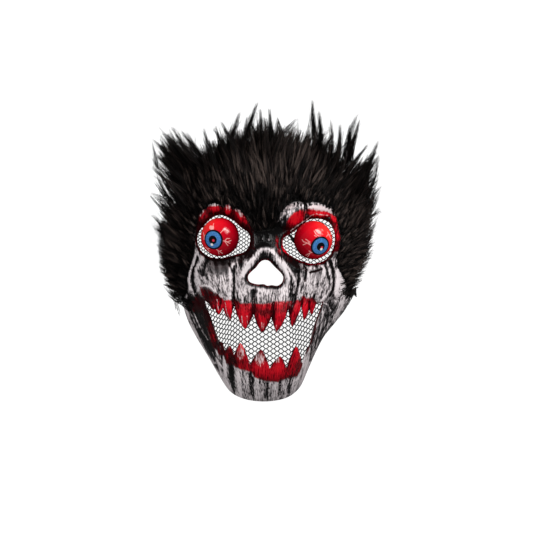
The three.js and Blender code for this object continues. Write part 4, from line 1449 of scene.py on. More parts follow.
def eye_plastic():
    material, add, shader = new_nodes("eyeball paint")
    place = add("TexCoord").outputs["Object"]
    speck, flow = noise(add, place, 900.0), noise(add, place, 260.0, 3.0)
    brush = plus(add, between(add, flow, 0.42, 0.62), 0.35)
    # the painted highlights, broken up by the brush
    pale = between(add, times(add, field(add, "pale"), brush), 0.12, 0.9)
    veins_and_highlights = times(add, maths(add, "MAXIMUM", pale, field(add, "vein")), VEIN_AND_HIGHLIGHT_STRENGTH)
    colour = mixed(add, veins_and_highlights, toned(add, field(add, "sunny"), EYE_RED), VEIN_AND_HIGHLIGHT_PINK)
    blue = mixed(add, between(add, speck, 0.4, 0.6), IRIS_DEEP, IRIS_BLUE)
    out = field(add, "iris")
    for reach, paint in ((LINE_REACH, INK), (BLUE_REACH, blue), (PUPIL_REACH, PUPIL_BLACK)):
        colour = mixed(add, between(add, out, reach + RING_EDGE, reach - RING_EDGE), colour, paint)
    colour = mixed(add, between(add, field(add, "dot"), 1.7, 1.0), colour, PUPIL_DOT)
    colour = mixed(add, between(add, field(add, "glint"), 2.0, 0.9), colour, PAINTED_GLINT)
    fill(
        add.tree, shader, Base_Color=colour, Roughness=0.16, Specular_IOR_Level=0.06, Coat_Weight=0.3,
        Coat_Roughness=0.06, Normal=add("Bump", Height=flow, Strength=0.08, Distance=0.0004),
    )
    return material


eye_material = eye_plastic()
for side, eye in EYES.items():
    points, faces, round_side = make_ball(eye)
    fields = eye_fields(points, eye, EYE_PAINT[side], round_side)
    ball = new_mesh(f"{side}_eye", points, faces, fields=fields)
    ball.data.materials.append(eye_material)
    take_place(ball, f"{side}_eyeball")

# %% [markdown]
# ## The nets
#
# Black netting closes the mouth and the sockets from behind, so the wearer's own face doesn't show.
# A flat sheet with a pattern of holes painted on would look like paper from the side. So each cell is
# made of real threads: short tubes with four sides, along the edges of a lattice of hexagons. The net
# was pulled unevenly when it was glued, which squeezes the cells in places; warping the lattice does
# that. It is stretched cloth.

# %% Knit a net
NET_DROP = 0.8  # how far the net lies under the wall's back
OUTLINE_MARGIN = 8
KNOT_SHARE = 0.16  # half the length of a knot, in cells
SPARE_CELLS = 1.4  # more columns than the outline is wide, because the warp draws them together
WEDGE_PINCH = 0.35  # how wide a wedge is at its start, as a share of its far end


def wedge_of_threads(start, end, threads=6, steps=5, apart=0.66):
    """Threads that make a small dark wedge in a net: they lie side by side, drawn together at the start."""
    start, end = np.array(start, float), np.array(end, float)
    side = unit(np.array([start[1] - end[1], end[0] - start[0]]))
    t = np.linspace(0, 1, steps)[:, None]
    ends = []
    for k in np.arange(threads) - (threads - 1) / 2:
        line = start + (end - start) * t + side * k * apart * (WEDGE_PINCH + (1 - WEDGE_PINCH) * t)
        ends += list(zip(line, line[1:]))
    return np.array(ends)


def lattice(outline, cell):
    """The two ends of each thread in a lattice of hexagons that covers an outline."""
    across, up = cell
    knot = KNOT_SHARE * across
    (x0, y0), (x1, y1) = outline.min(0) - OUTLINE_MARGIN, outline.max(0) + OUTLINE_MARGIN
    ends = []
    for i in range(math.floor(SPARE_CELLS * x0 / across), math.ceil(SPARE_CELLS * x1 / across)):
        for j in range(math.floor(y0 / up), math.ceil(y1 / up)):
            x, y = i * across, (j + 0.5 * (i % 2)) * up
            top, low = (x + knot, y + up / 2), (x + knot, y - up / 2)
            side = (x + across - knot, y)
            ends += [((x - knot, y + up / 2), top), (top, side), (low, side)]
    return np.array(ends)


def knit(name, outline, cell, warp, thread, wedges=()):
    """Thread tubes along a warped lattice, inside an outline and under the moulding's back."""
    ends = warp(lattice(outline, cell).reshape(-1, 2)).reshape(-1, 2, 2)
    within = inside(ends.reshape(-1, 2), outline).reshape(-1, 2).all(1)
    ends = np.vstack([ends[within], *(wedge_of_threads(*wedge) for wedge in wedges)])
    heights = inner_height(ends.reshape(-1, 2)) - NET_DROP
    joints = np.column_stack([ends.reshape(-1, 2), heights]).reshape(-1, 2, 3)
    along = unit(joints[:, 1] - joints[:, 0])
    flat = unit(np.cross(along, [0, 0, 1]))
    upward = np.cross(flat, along)
    sides = thread / 2 * np.stack([flat, upward, -flat, -upward], 1)
    points = (joints[:, :, None, :] + sides[:, None, :, :]).reshape(-1, 3)
    quads = np.array([(k, (k + 1) % 4, 4 + (k + 1) % 4, 4 + k) for k in range(4)])
    faces = (np.arange(len(joints))[:, None, None] * 8 + quads).reshape(-1, 4)
    print(name, len(joints), "threads")
    return new_mesh(name, points, faces[:, ::-1])


# %% The area of a net
NET_SLOPE = 1.04  # the face isn't flat, so a net is a little longer than it looks from above


def outline_area(outline):
    x, y = outline[:, 0], outline[:, 1]
    return 0.5 * abs(np.dot(x, np.roll(y, -1)) - np.dot(y, np.roll(x, -1)))


def sheet_of(outline):
    """Works out the area of a net from its outline, a little larger for the slope of the face."""
    area = outline_area(outline) * MM**2 * NET_SLOPE**2


# %% Where the nets were squeezed
MOUTH_NET = np.array([
    (-67, -50), (-40, -50), (0, -58), (35, -50), (63, -49), (59, -72), (51, -98), (42, -117), (15, -127),
    (-15, -126), (-38, -117), (-53, -101), (-62, -76),
], float)
MOUTH_CELL = (3.9, 5.0)
EYE_CELLS = {"left": (2.9, 3.7), "right": (3.6, 4.0)}
EYE_THREAD = 0.85
NET_MARGIN = 4.6
MOUTH_THREAD = 1.04
# a bundle of threads that makes a small dark wedge in the right eye's net
NET_WEDGES = {"right_eye_net": [((23.5, 18.5), (31, 9))]}
CALM_WIDTH = 24  # cells are full size this far to both sides of the middle
SQUEEZE = 0.76  # and this narrow beyond it
PULLS = [(-40, 9, 2.4), (30, 8, -2.0)]  # place across, how wide, how far up the cells are pulled
SLANT_FROM = (-28, 24)
SLANT = (0.34, 0.32)
MOUTH_HEIGHT = -85
PULL_TURN = 0.01  # how much a pull turns the columns
EYE_BEND = 0.004


def mouth_warp(q):
    """Cells are full size in the middle, and drawn together towards the corners of the mouth."""
    x, y = q[:, 0], q[:, 1]
    beyond = np.maximum(0, np.abs(x) - CALM_WIDTH)
    squeezed = np.sign(x) * (np.minimum(np.abs(x), CALM_WIDTH) + beyond * SQUEEZE)
    pull = sum(up * np.exp(-(((x - at) / width) ** 2)) for at, width, up in PULLS)
    slant = SLANT[0] * np.minimum(0, x - SLANT_FROM[0]) + SLANT[1] * np.maximum(0, x - SLANT_FROM[1])
    return np.stack([squeezed + PULL_TURN * pull * (y - MOUTH_HEIGHT), y + pull + slant], 1)


def eye_warp(middle):
    def warp(q):
        away = q - middle
        bend = EYE_BEND * away[:, 0] * away[:, 1]
        return np.stack([q[:, 0] + 0.5 * bend, q[:, 1] + bend], 1)

    return warp


def grown(loop, margin):
    """An outline moved outward by a margin."""
    along = np.roll(loop, -1, 0) - np.roll(loop, 1, 0)
    out = unit(np.stack([along[:, 1], -along[:, 0]], 1))
    turning = np.sign(np.sum(loop[:, 0] * np.roll(loop[:, 1], -1) - loop[:, 1] * np.roll(loop[:, 0], -1)))
    return loop + out * margin * turning


print("outline of the mouth's net", len(MOUTH_NET), "corners")

# %% Make the three nets
THREAD_DARK = (0.001, 0.001, 0.001, 1)
THREAD_LIGHT = (0.008, 0.007, 0.007, 1)


def net_thread():
    material, add, shader = new_nodes("net thread")
    twist = noise(add, add("TexCoord").outputs["Object"], 1400.0)
    fill(
        add.tree, shader, Base_Color=mixed(add, twist, THREAD_DARK, THREAD_LIGHT), Roughness=0.78,
        Specular_IOR_Level=0.2, Normal=add("Bump", Height=twist, Strength=0.5, Distance=0.0002),
    )
    return material


thread_material = net_thread()
nets = {"mouth_net": (MOUTH_NET, MOUTH_CELL, mouth_warp, MOUTH_THREAD)}
for side, eye in EYES.items():
    outline = grown(openings[f"{side} eye"], NET_MARGIN)
    nets[f"{side}_eye_net"] = (outline, EYE_CELLS[side], eye_warp(np.array(eye["at"])), EYE_THREAD)
for node, (outline, cell, warp, thread) in nets.items():
    net = knit(node.replace("_net", "_netting"), outline, cell, warp, thread, NET_WEDGES.get(node, ()))
    net.data.materials.append(thread_material)
    take_place(net, node)
    sheet_of(outline)

# %% [markdown]
# ## The fur's backing
#
# Fake fur is hair knitted into a cloth. The cloth is glued over the forehead, runs past the rim on
# all sides but the bottom, and hangs nearly to the table there. It hardly shows, but without it the
# hood would be a cloud of loose hairs. It is one curved sheet over the moulding.

# %% Lay the cloth over the forehead
HAIRLINE = [  # it dips between the brow folds
    (-88, -51.5), (-85.5, -46), (-83, -41), (-83.5, -30.5), (-81.5, -20), (-77.5, -9.5), (-75.5, 1),
    (-74, 16), (-73.5, 28.5), (-70.5, 40), (-65.5, 44.5), (-62, 44.5), (-60.5, 49), (-55.5, 50.5),
    (-50.5, 50.5), (-48, 48.5), (-45.5, 45), (-44, 48.5), (-41, 50), (-37.5, 49), (-34.5, 42),
    (-32, 45.5), (-27.5, 43), (-23, 38.5), (-18, 29.5), (-13.5, 22), (-8.5, 20), (0, 21), (8.5, 22),
    (11, 26), (12, 31.5), (14.5, 39), (21, 46.5), (26, 50.5), (32.5, 52.5), (38, 52), (39.5, 48),
    (42, 50.5), (49.5, 52), (56.5, 50.5), (64, 47), (70, 42), (71, 38), (74, 35.5), (76, 28.5),
    (79, 14.5), (77.5, 2), (75, -6.5), (75.5, -17), (80, -25), (84, -32.5), (86.5, -41), (87.5, -48.5),
]
FUR_OUTLINE = [
    (0, 125), (40, 119), (60, 116), (73, 103), (82, 92), (91, 87), (102, 92), (112, 84), (117, 64),
    (117, 40), (113, 5), (103, -25), (93, -49), (60, -60), (0, -70), (-60, -62), (-92, -58), (-109, -36),
    (-115, 0), (-113, 36), (-103, 60), (-103, 78), (-112, 96), (-109, 112), (-99, 116), (-88, 105),
    (-78, 97), (-66, 104), (-45, 114), (-25, 122),
]
TAB = [(96, -37.5), (97, -49.5), (93, -46), (90.5, -50.5), (87.5, -46.5)]  # a loose end of the cloth
CLOTH_LIFT = 0.9
FOLD_SHARE = 0.8  # how much of a brow fold shows through the cloth
SKIRT_TOP = 26  # height at which the cloth leaves the moulding
SKIRT_FOOT = 2
SKIRT_SPARE = 1.05
HALF_FACE = 93
FUR_LOWEST = -57
cloth_reach = reach_of(smooth_loop(FUR_OUTLINE, REACH_POINTS))


def cloth_height(p):
    """Over the moulding, and on a slope from its rim down to the hood's edge."""
    angle, out = from_centre(p)
    rim, edge = rim_reach(angle), cloth_reach(angle)
    up = (edge - out) / np.maximum(edge - rim, 1)
    skirt = SKIRT_FOOT + (SKIRT_TOP - SKIRT_FOOT) * np.clip(up, 0, SKIRT_SPARE)
    over = plain_height(p) + FOLD_SHARE * fold_relief(p) + CLOTH_LIFT
    return np.where(out < rim, np.maximum(over, skirt), skirt)


def in_fur(p, share):
    """Whether points are in the hood's outline, drawn in to a share, and behind the hairline."""
    angle, out = from_centre(p)
    face = np.array([*HAIRLINE, (HALF_FACE, -200), (-HALF_FACE, -200)])
    return (out / cloth_reach(angle) < share) & ~inside(p, face) & (p[:, 1] > FUR_LOWEST)


print("cloth over the crown", cloth_height(np.array([[0.0, 90.0]])).round(1), "mm high")

# %% Cut the cloth
CLOTH_SHARE = 0.93  # the pile stands past the cloth all round
CLOTH_LOWEST = -42
CLOTH_SPACING = 2.4
ROW_HEIGHT = 0.87  # of a grid of even triangles, in spacings
CLOTH_DARK = (0.003, 0.0028, 0.0026, 1)
CLOTH_LIGHT = (0.014, 0.012, 0.011, 1)
EDGE_POINTS = 700
HAIRLINE_POINTS = 260
CLOTH_POINTS = 520


def cloth_outline():
    """The hood's edge and the hairline, joined to one closed outline."""
    edge = (smooth_loop(FUR_OUTLINE, EDGE_POINTS) - CENTRE) * CLOTH_SHARE + CENTRE
    edge = edge[edge[:, 1] > CLOTH_LOWEST]
    left_end = np.argmax(np.linalg.norm(np.diff(edge, axis=0), axis=1)) + 1
    edge = np.roll(edge, -left_end, 0)
    hair = evenly(HAIRLINE, HAIRLINE_POINTS)[::-1][3:-3]
    return evenly(np.vstack([edge, TAB, hair]), CLOTH_POINTS, closed=True)


def make_cloth():
    outline = cloth_outline()
    free = staggered_grid(outline.min(0), outline.max(0), CLOTH_SPACING, ROW_HEIGHT)
    free = free[inside(free, outline)]
    free = free[line_distance(free, outline, closed=True) > 0.5 * CLOTH_SPACING]
    places, faces = join_points(np.vstack([outline, free]), [len(outline)])
    faces = faces[inside(places[faces].mean(1), outline)]
    return np.column_stack([places, cloth_height(places)]), faces


def mesh_area(points, faces):
    a, b, c = np.moveaxis(points[faces], 1, 0)
    return 0.5 * np.linalg.norm(np.cross(b - a, c - a), axis=1).sum()


def fur_cloth():
    material, add, shader = new_nodes("knitted backing")
    rows = add("TexWave", Vector=add("TexCoord").outputs["Object"], Scale=420.0, Distortion=1.5)
    fill(
        add.tree, shader, Base_Color=mixed(add, rows, CLOTH_DARK, CLOTH_LIGHT), Roughness=0.9,
        Normal=add("Bump", Height=rows, Strength=0.4, Distance=0.0003),
    )
    return material


cloth_points, cloth_faces = make_cloth()
cloth = new_mesh("fur_backing", cloth_points, cloth_faces)
cloth.data.materials.append(fur_cloth())
take_place(cloth, "fur_hood")
cloth_area = mesh_area(cloth_points, cloth_faces) * MM**2
print("cloth area", round(cloth_area, 4), "m2")

# %% [markdown]
# ## The fur
#
# The pile is long, a few centimetres, and was combed up and away from the face. Hair clings together
# in locks that taper to a point, and that is what makes the spiky outline. Particle hair would be the
# quick way, but it is lost when the model is exported. So each hair is a thin tapering prism of its
# own, bent along a curve. Hairs of one lock aim at one common point, but not all the way.

# %% Grow hairs
HAIR_SOURCE = np.array([0.0, -85.0])  # the pile is combed away from here
HAIR_LOWEST = 0.4  # over the table
HAIR_RINGS = 4
HAIR_TAPER = 0.8  # how much of its width a hair loses towards its tip
ASIDE = np.array([0.35, -0.2, 1.0])  # hardly any hair points this way
HAIR_SEED = 31
hair_random = np.random.default_rng(HAIR_SEED)
chance, bell = hair_random.random, hair_random.normal  # even from zero to one, and a bell curve round zero


def flow(p):
    """Which way the pile is combed at a point."""
    return unit(p - HAIR_SOURCE)


def bend_hairs(roots, knees, tips):
    """Points along a bent line for each hair: (hair, ring, 3)."""
    t = np.linspace(0, 1, HAIR_RINGS)[None, :, None]
    return (1 - t) ** 2 * roots[:, None] + 2 * t * (1 - t) * knees[:, None] + t**2 * tips[:, None]


def hair_mesh(name, paths, width, tone):
    """One three-sided prism for each path, tapering to its tip."""
    count, rings, _ = paths.shape
    along = unit(np.gradient(paths, axis=1))
    turn = chance(count)[:, None] * 2 * math.pi
    side = unit(np.cross(along, ASIDE))
    other = np.cross(along, side)
    taper = (1 - HAIR_TAPER * np.linspace(0, 1, rings) ** 2)[None, :, None]
    corners = []
    for k in range(3):
        angle = (turn + k * 2 * math.pi / 3)[..., None]
        out = np.cos(angle) * side + np.sin(angle) * other
        corners.append(paths + out * taper * width[:, None, None] / 2)
    points = np.stack(corners, 2).reshape(-1, 3)
    points[:, 2] = np.maximum(points[:, 2], HAIR_LOWEST)
    walls = [(k, (k + 1) % 3, 3 + (k + 1) % 3) for k in range(3)]
    walls += [(k, 3 + (k + 1) % 3, 3 + k) for k in range(3)]
    last = 3 * rings - 3
    tube = [np.array(walls) + 3 * k for k in range(rings - 1)]
    tube = np.vstack([*tube, [(last, last + 1, last + 2)], [(2, 1, 0)]])
    faces = (np.arange(count)[:, None, None] * 3 * rings + tube[None]).reshape(-1, 3)
    reach = np.tile(np.repeat(np.linspace(0, 1, rings), 3), count)
    return new_mesh(name, points, faces, fields={"tone": np.repeat(tone, 3 * rings), "reach": reach})


# %% Roots and lengths
BROW_PILE = 8  # length of the pile along the hairline
MORE_PILE = 24  # how much longer it is at PILE_GROWS behind the hairline
PILE_GROWS = 40
CROWN_PILE = 14  # and how much more between the two heights of the crown
CROWN_GROWS = (50, 100)
ROOT_SUNK = 0.4  # how far a root is under the cloth
ROOT_BOX = np.array([[-120.0, -57.0], [120.0, 130.0]])
ROOTS_AT_ONCE = 60000
STEEPEST = 2.2  # area of the cloth over a square millimetre, at most
SLOPE_STEP = 0.8


def pile_length(p):
    """Short at the brow, and longest over the crown."""
    behind = line_distance(p, HAIRLINE)
    return BROW_PILE + MORE_PILE * ramp(behind, 0, PILE_GROWS) + CROWN_PILE * ramp(p[:, 1], *CROWN_GROWS)


def room_left(p):
    """How far a point is from the hood's edge, along the way the pile lies."""
    angle, distance = from_centre(p)
    return cloth_reach(angle) - distance


def turned(direction, angle):
    c, s = np.cos(angle), np.sin(angle)
    x, y = direction[:, 0], direction[:, 1]
    return np.stack([x * c - y * s, x * s + y * c], 1)


def spread_between(low_high, count):
    low, high = low_high
    return low + (high - low) * chance(count)


def roots_on_cloth(count):
    """Random places on the cloth, even over its slopes too."""
    low, high = ROOT_BOX
    found = []
    while sum(len(f) for f in found) < count:
        p = low + chance((ROOTS_AT_ONCE, 2)) * (high - low)
        p = p[in_fur(p, CLOTH_SHARE)]
        base = cloth_height(p)
        right, up = cloth_height(p + [SLOPE_STEP, 0]), cloth_height(p + [0, SLOPE_STEP])
        slope = np.hypot(right - base, up - base) / SLOPE_STEP
        area = np.minimum(np.sqrt(1 + slope**2), STEEPEST)
        found.append(p[chance(len(p)) < area / STEEPEST])
    return np.vstack(found)[:count]


print("pile over the crown", pile_length(np.array([[0.0, 90.0]])).round(1), "mm long")

# %% Strands and locks
LOCK_SPACING = 9.0
LOCK_SEED = 77
STRAND_SPACING = 2.3
STRAND_SEED = 78
CLUSTER_SHAKE = 0.3
CLUSTERS = 128  # the random numbers of the clusters repeat after this many rows and columns


def clusters(p, spacing, seed):
    """The middle of the cluster that each root belongs to, and six random numbers of that cluster."""
    cell = spacing * np.array([1.0, ROW_HEIGHT])
    row = np.round(p[:, 1] / cell[1]).astype(int)
    column = np.round(p[:, 0] / cell[0] - 0.5 * (row % 2)).astype(int)
    table = np.random.default_rng(seed).normal(size=(CLUSTERS, CLUSTERS, 6))
    own = table[column % CLUSTERS, row % CLUSTERS]
    middle = np.stack([(column + 0.5 * (row % 2)) * cell[0], row * cell[1]], 1)
    return middle + CLUSTER_SHAKE * spacing * own[:, :2], own


print("strands in a lock", round((LOCK_SPACING / STRAND_SPACING) ** 2))

# %% The coat
COAT_HAIRS = 21500
COAT_WIDTH = (0.36, 0.56)
BROW_DEPTH = (4, 30)  # how far behind the hairline the brow's finer pile ends
LEAN_CELL = 24  # the pile leans one way over a patch of this size
LEAN_SEED = 41
LEAN = 0.5
LEAN_VARIES = (0.1, 0.09, 0.06)  # from lock to lock, strand to strand and hair to hair
LENGTH_VARIES = (0.1, 0.15, 0.1)  # the same for the length, the rise and the shade
RISE_VARIES = (1.1, 1.3, 0.5)
# Painted light: the lock's and the strand's share of the shade use the same random numbers as their rise, so
# taller locks and strands are lighter.
SHADE_VARIES = (0.25, 0.95, 0.4)
SHORTEST_HAIR = 5
STRAND_CLING = (0.78, 0.4)  # how far a hair goes to its strand's tip, and how much less at the brow
LOCK_CLING = (0.26, 0.12, 0.3)  # the same for its lock, with how much that varies before the last
MOST_CLING = 0.55
EVEN_EDGE = 25  # below this height on the face, the hood's edge is less ragged
PILE_RISE = (2.6, 0.13)  # how high the tips stand over the cloth, and more for each millimetre of length
LEAST_RISE = 0.7
MOST_RISE = 13
TIP_BASE = (0.3, 0.7)  # shares of the cloth's height at the root and under the tip
KNEE_SHAKE = 0.5
KNEE_RISE = (1.3, 1.2)  # in rises of the tip, and the same for all


def edge_spare(p, strand):
    """How far hairs may pass the hood's edge: raggedly above, less so at the lower right."""
    uneven = 1 / (1 + np.exp(-1.7 * strand[:, 5]))
    return np.where(p[:, 1] > EVEN_EDGE, 22 * uneven - 11, np.where(p[:, 0] < 0, 1, 7 * uneven - 3))


def coat(count):
    """Hairs that cover the hood: they cling together in thin strands, and the strands in locks."""
    p = roots_on_cloth(count)
    lock_middle, lock = clusters(p, LOCK_SPACING, LOCK_SEED)
    middle, strand = clusters(p, STRAND_SPACING, STRAND_SEED)
    brow = 1 - ramp(line_distance(p, HAIRLINE), *BROW_DEPTH)
    place = middle / LEAN_CELL + 9
    lean = LEAN * (soft_noise(place[:, 0], place[:, 1], LEAN_SEED) - 0.5) + LEAN_VARIES[0] * lock[:, 3]
    length = pile_length(middle) * (1 + LENGTH_VARIES[0] * lock[:, 4] + LENGTH_VARIES[1] * strand[:, 4])
    length = length * (1 + LENGTH_VARIES[2] * bell(size=len(p)))
    longest = np.maximum(SHORTEST_HAIR, room_left(p) + edge_spare(p, strand))
    length = np.clip(length, SHORTEST_HAIR, longest)[:, None]
    strand_lean = lean + LEAN_VARIES[1] * strand[:, 3]
    hair_lean = strand_lean + LEAN_VARIES[2] * bell(size=len(p))
    tip = p + turned(flow(p), hair_lean) * length
    strand_tip = middle + turned(flow(middle), strand_lean) * length
    lock_tip = lock_middle + turned(flow(lock_middle), lean) * length
    to_strand = STRAND_CLING[0] - STRAND_CLING[1] * brow
    to_lock = np.clip(LOCK_CLING[0] + LOCK_CLING[1] * lock[:, 2] - LOCK_CLING[2] * brow, 0, MOST_CLING)
    tip = tip + (strand_tip - tip) * to_strand[:, None]
    tip = tip + (lock_tip - tip) * to_lock[:, None]
    rise = PILE_RISE[0] + PILE_RISE[1] * length[:, 0]
    rise = rise + RISE_VARIES[0] * lock[:, 5] + RISE_VARIES[1] * strand[:, 2]
    rise = np.clip(rise + RISE_VARIES[2] * bell(size=len(p)), LEAST_RISE, MOST_RISE)
    base = cloth_height(p)
    tip_height = TIP_BASE[0] * base + TIP_BASE[1] * cloth_height(tip) + rise
    knee = p + 0.5 * (tip - p) + KNEE_SHAKE * bell(size=p.shape)
    knee_height = np.maximum(base, cloth_height(knee)) + KNEE_RISE[0] * rise + KNEE_RISE[1]
    # painted light: a hair's shade follows the rise of its strand and lock
    shade = SHADE_VARIES[1] * strand[:, 2] + SHADE_VARIES[0] * lock[:, 5]
    shade = shade + SHADE_VARIES[2] * bell(size=len(p))
    return (
        np.column_stack([p, base - ROOT_SUNK]), np.column_stack([knee, knee_height]),
        np.column_stack([tip, tip_height]), shade, spread_between(COAT_WIDTH, len(p)),
    )


coat_hairs = coat(COAT_HAIRS)
print("coat", len(coat_hairs[0]), "hairs, lowest root", coat_hairs[0][:, 2].min().round(1), "mm")

# %% A lock of hair
LOCK_WIDTH = (0.3, 0.5)
LOCK_FOOT = 4  # the lowest that a lock starts
LOCK_SUNK = 0.5
LOCK_BOW = 0.07
KNEE_AT = 0.55  # where along its length a lock's hair bends
LOCK_DEPTH = 0.7  # how deep a lock's foot is, as a share of its width
ROOTS_ALONG = 0.3  # the share of its length over which its roots lie
LOCK_SHORTER = 0.45  # the most that one of its hairs ends before the tip, as a share
LOCK_SHAKE = 0.7
LOCK_KNEE = (0.62, 4)  # how high a hair bends: the share of its rise, and the same for all
LOCK_SHADES = (0.4, 0.6)  # how much the tone varies from lock to lock and from hair to hair


def lock_of_hair(tip, lean, length, spread, count, scatter=1.0):
    """Hairs that start side by side and end near one tip."""
    tip = np.array(tip, float)
    way = turned(flow(tip[None, :2]), np.array([lean]))[0]
    beside = np.array([-way[1], way[0]])
    start = tip[:2] - way * length
    shift = bell(size=(count, 2)) * spread
    bow = bell() * LOCK_BOW * length * beside
    ahead = LOCK_DEPTH * shift[:, 1:] + ROOTS_ALONG * length * chance((count, 1))
    p = start + shift[:, :1] * beside + ahead * way
    full = 1 - LOCK_SHORTER * chance(count)[:, None] ** 2
    end = p + (tip[:2] + bell(size=(count, 2)) * scatter - p) * full
    base = np.maximum(cloth_height(p), LOCK_FOOT)
    knee = p + KNEE_AT * (end - p) + bow + bell(size=p.shape) * LOCK_SHAKE
    end_height = base + (tip[2] - base) * full[:, 0]
    knee_height = base + LOCK_KNEE[0] * (end_height - base) + LOCK_KNEE[1]
    shade = np.full(count, LOCK_SHADES[0] * bell())
    shade = shade + LOCK_SHADES[1] * bell(size=count)
    return (
        np.column_stack([p, base - LOCK_SUNK]), np.column_stack([knee, knee_height]),
        np.column_stack([end, end_height]), shade, spread_between(LOCK_WIDTH, count),
    )


# %% The tall locks of the crown
CROWN_TIPS = [  # place of the tip, and how far the lock leans to the left of the way the pile lies
    (-120, 118, 40, 0.15), (-109, 125, 52, 0.2), (-100, 132, 34, 0.12), (-90, 127, 46, 0.2),
    (-84, 124, 28, 0.2), (-66, 129, 50, 0.05), (-55, 130, 36, 0.2), (-47.5, 136, 56, 0.25),
    (-37, 132, 32, -0.1), (-28, 147, 48, -0.5), (-20, 141, 62, -0.4), (-9, 157, 44, -0.35),
    (-6, 150, 60, 0.05), (3.5, 151, 56, 0.05), (11.5, 138, 36, 0.15), (31, 133, 50, -0.35),
    (49, 160, 46, 0.3), (56, 147, 60, 0.25), (69, 139, 34, 0.2), (78, 134, 54, 0.25),
    (96.5, 146, 44, 0.27), (99, 138, 56, 0.1), (108, 113, 36, -0.1), (119, 116, 48, 0.0),
    (-117, 103, 34, 0.2), (-121, 90, 30, 0.15), (-104, 118, 44, 0.22), (-95, 119, 50, 0.2),
    (120, 100, 30, -0.1), (116, 106, 44, 0.1), (-2, 140, 66, 0.1), (20, 132, 60, -0.2),
]
CROWN_LENGTH = 60
CROWN_SPREAD = 2.3
CROWN_HAIRS = 66
WISPS = 2  # thin wisps beside each crown lock
WISP_SPREAD = 1.6
WISP_HAIRS = 12
WISP_SHAKE = 6  # how far beside and below its lock a wisp ends
WISP_SHORTER = (3, 20)  # at least, and how much more at random
WISP_LEAN = 0.2
WISP_SCATTER = 0.8


def crown():
    parts = []
    for x, y, z, lean in CROWN_TIPS:
        parts.append(lock_of_hair((x, y, z), lean, CROWN_LENGTH, CROWN_SPREAD, CROWN_HAIRS))
        for _ in range(WISPS):
            aside = bell() * WISP_SHAKE
            shorter = WISP_SHORTER[0] + WISP_SHORTER[1] * chance()
            place = (x + aside, y - shorter, z - WISP_SHAKE * chance())
            wisp_lean, length = lean + WISP_LEAN * bell(), CROWN_LENGTH - shorter
            parts.append(lock_of_hair(place, wisp_lean, length, WISP_SPREAD, WISP_HAIRS, WISP_SCATTER))
    return parts


crown_locks = crown()
print("locks and wisps of the crown", len(crown_locks))

# %% Tufts along the edge
TUFTS = 330
TUFT_ARC = (-14, 208)  # where round the edge they start, and how far they go, in degrees
GAPS = [((-75, 116), (7, 22), 8, 1), ((94, 102), (5, 16), 0, 1)]  # no tuft ends in these patches
CROWN_SINES = (0.35, 0.85)  # the tufts grow longer between these sines of the angle
TUFT_INSIDE = 5  # how far inside the edge a tuft may end
TUFT_REACH = (8, 20)  # how far out from there one may go, and how much more over the crown
TUFT_REACH_POWER = 1.6  # few go far
TUFT_HEIGHT = (12, 40, 8)  # at least, at random over the crown, and at random everywhere
TUFT_LENGTH = (24, 16)  # everywhere, and how much more over the crown
TUFT_SIZE = (0.7, 0.6)  # the least share, and more at random
TUFT_HAIRS = (8, 24)
TUFT_SPREAD = (0.9, 22)  # of the thinnest tuft, and how many hairs make it one wider
TUFT_LEAN = 0.28
TUFT_SCATTER = 0.9
SIDE_REACH = 124
SIDE_LOCKS = 9
SIDE_STEP = 12
SIDE_SHAKE = 5
SIDE_INWARD = (12, 16)  # how far in at random, and how much more at the cheeks
CHEEKS_FROM = (-40, 10)  # between these, in millimetres below the middle of the face
SIDE_HEIGHT = (10, 14)  # at least, and how much more at random
SIDE_LEAN = 0.15
SIDE_LENGTH = 36
SIDE_SPREAD = 2.6
SIDE_HAIRS = 30
SIDE_SCATTER = 1.4


def tufts():
    """Small locks of every size along the edge, longest over the crown."""
    parts = []
    for _ in range(TUFTS):
        angle = math.radians(TUFT_ARC[0] + TUFT_ARC[1] * chance())
        high = float(ramp(math.sin(angle), *CROWN_SINES))
        reach = TUFT_REACH[0] + TUFT_REACH[1] * high
        out = cloth_reach(angle) - TUFT_INSIDE + reach * chance() ** TUFT_REACH_POWER
        x, y = CENTRE + out * np.array([math.cos(angle), math.sin(angle)])
        if patches(np.array([[x, y]]), GAPS)[0] > 0:
            continue
        z = TUFT_HEIGHT[0] + TUFT_HEIGHT[1] * high * chance()
        z += TUFT_HEIGHT[2] * chance()
        length = TUFT_LENGTH[0] + TUFT_LENGTH[1] * high
        length *= TUFT_SIZE[0] + TUFT_SIZE[1] * chance()
        count = TUFT_HAIRS[0] + int(TUFT_HAIRS[1] * high * chance() ** 2)
        spread = TUFT_SPREAD[0] + count / TUFT_SPREAD[1]
        lean = TUFT_LEAN * bell()
        parts.append(lock_of_hair((x, y, z), lean, length, spread, count, TUFT_SCATTER))
    return parts


def sides():
    """Locks down both sides, drawn in towards the cheeks."""
    parts = []
    for side in (-1, 1):
        for k in range(SIDE_LOCKS):
            y = SIDE_STEP * k + SIDE_SHAKE * bell()
            drawn_in = SIDE_INWARD[1] * ramp(-y, *CHEEKS_FROM)
            x = side * (SIDE_REACH - SIDE_INWARD[0] * chance() - drawn_in)
            lean = SIDE_LEAN * bell()
            place = (x, y, SIDE_HEIGHT[0] + SIDE_HEIGHT[1] * chance())
            parts.append(lock_of_hair(place, lean, SIDE_LENGTH, SIDE_SPREAD, SIDE_HAIRS, SIDE_SCATTER))
    return parts


tuft_locks = tufts()
side_locks = sides()
print("tufts", len(tuft_locks), "and locks at the sides", len(side_locks))

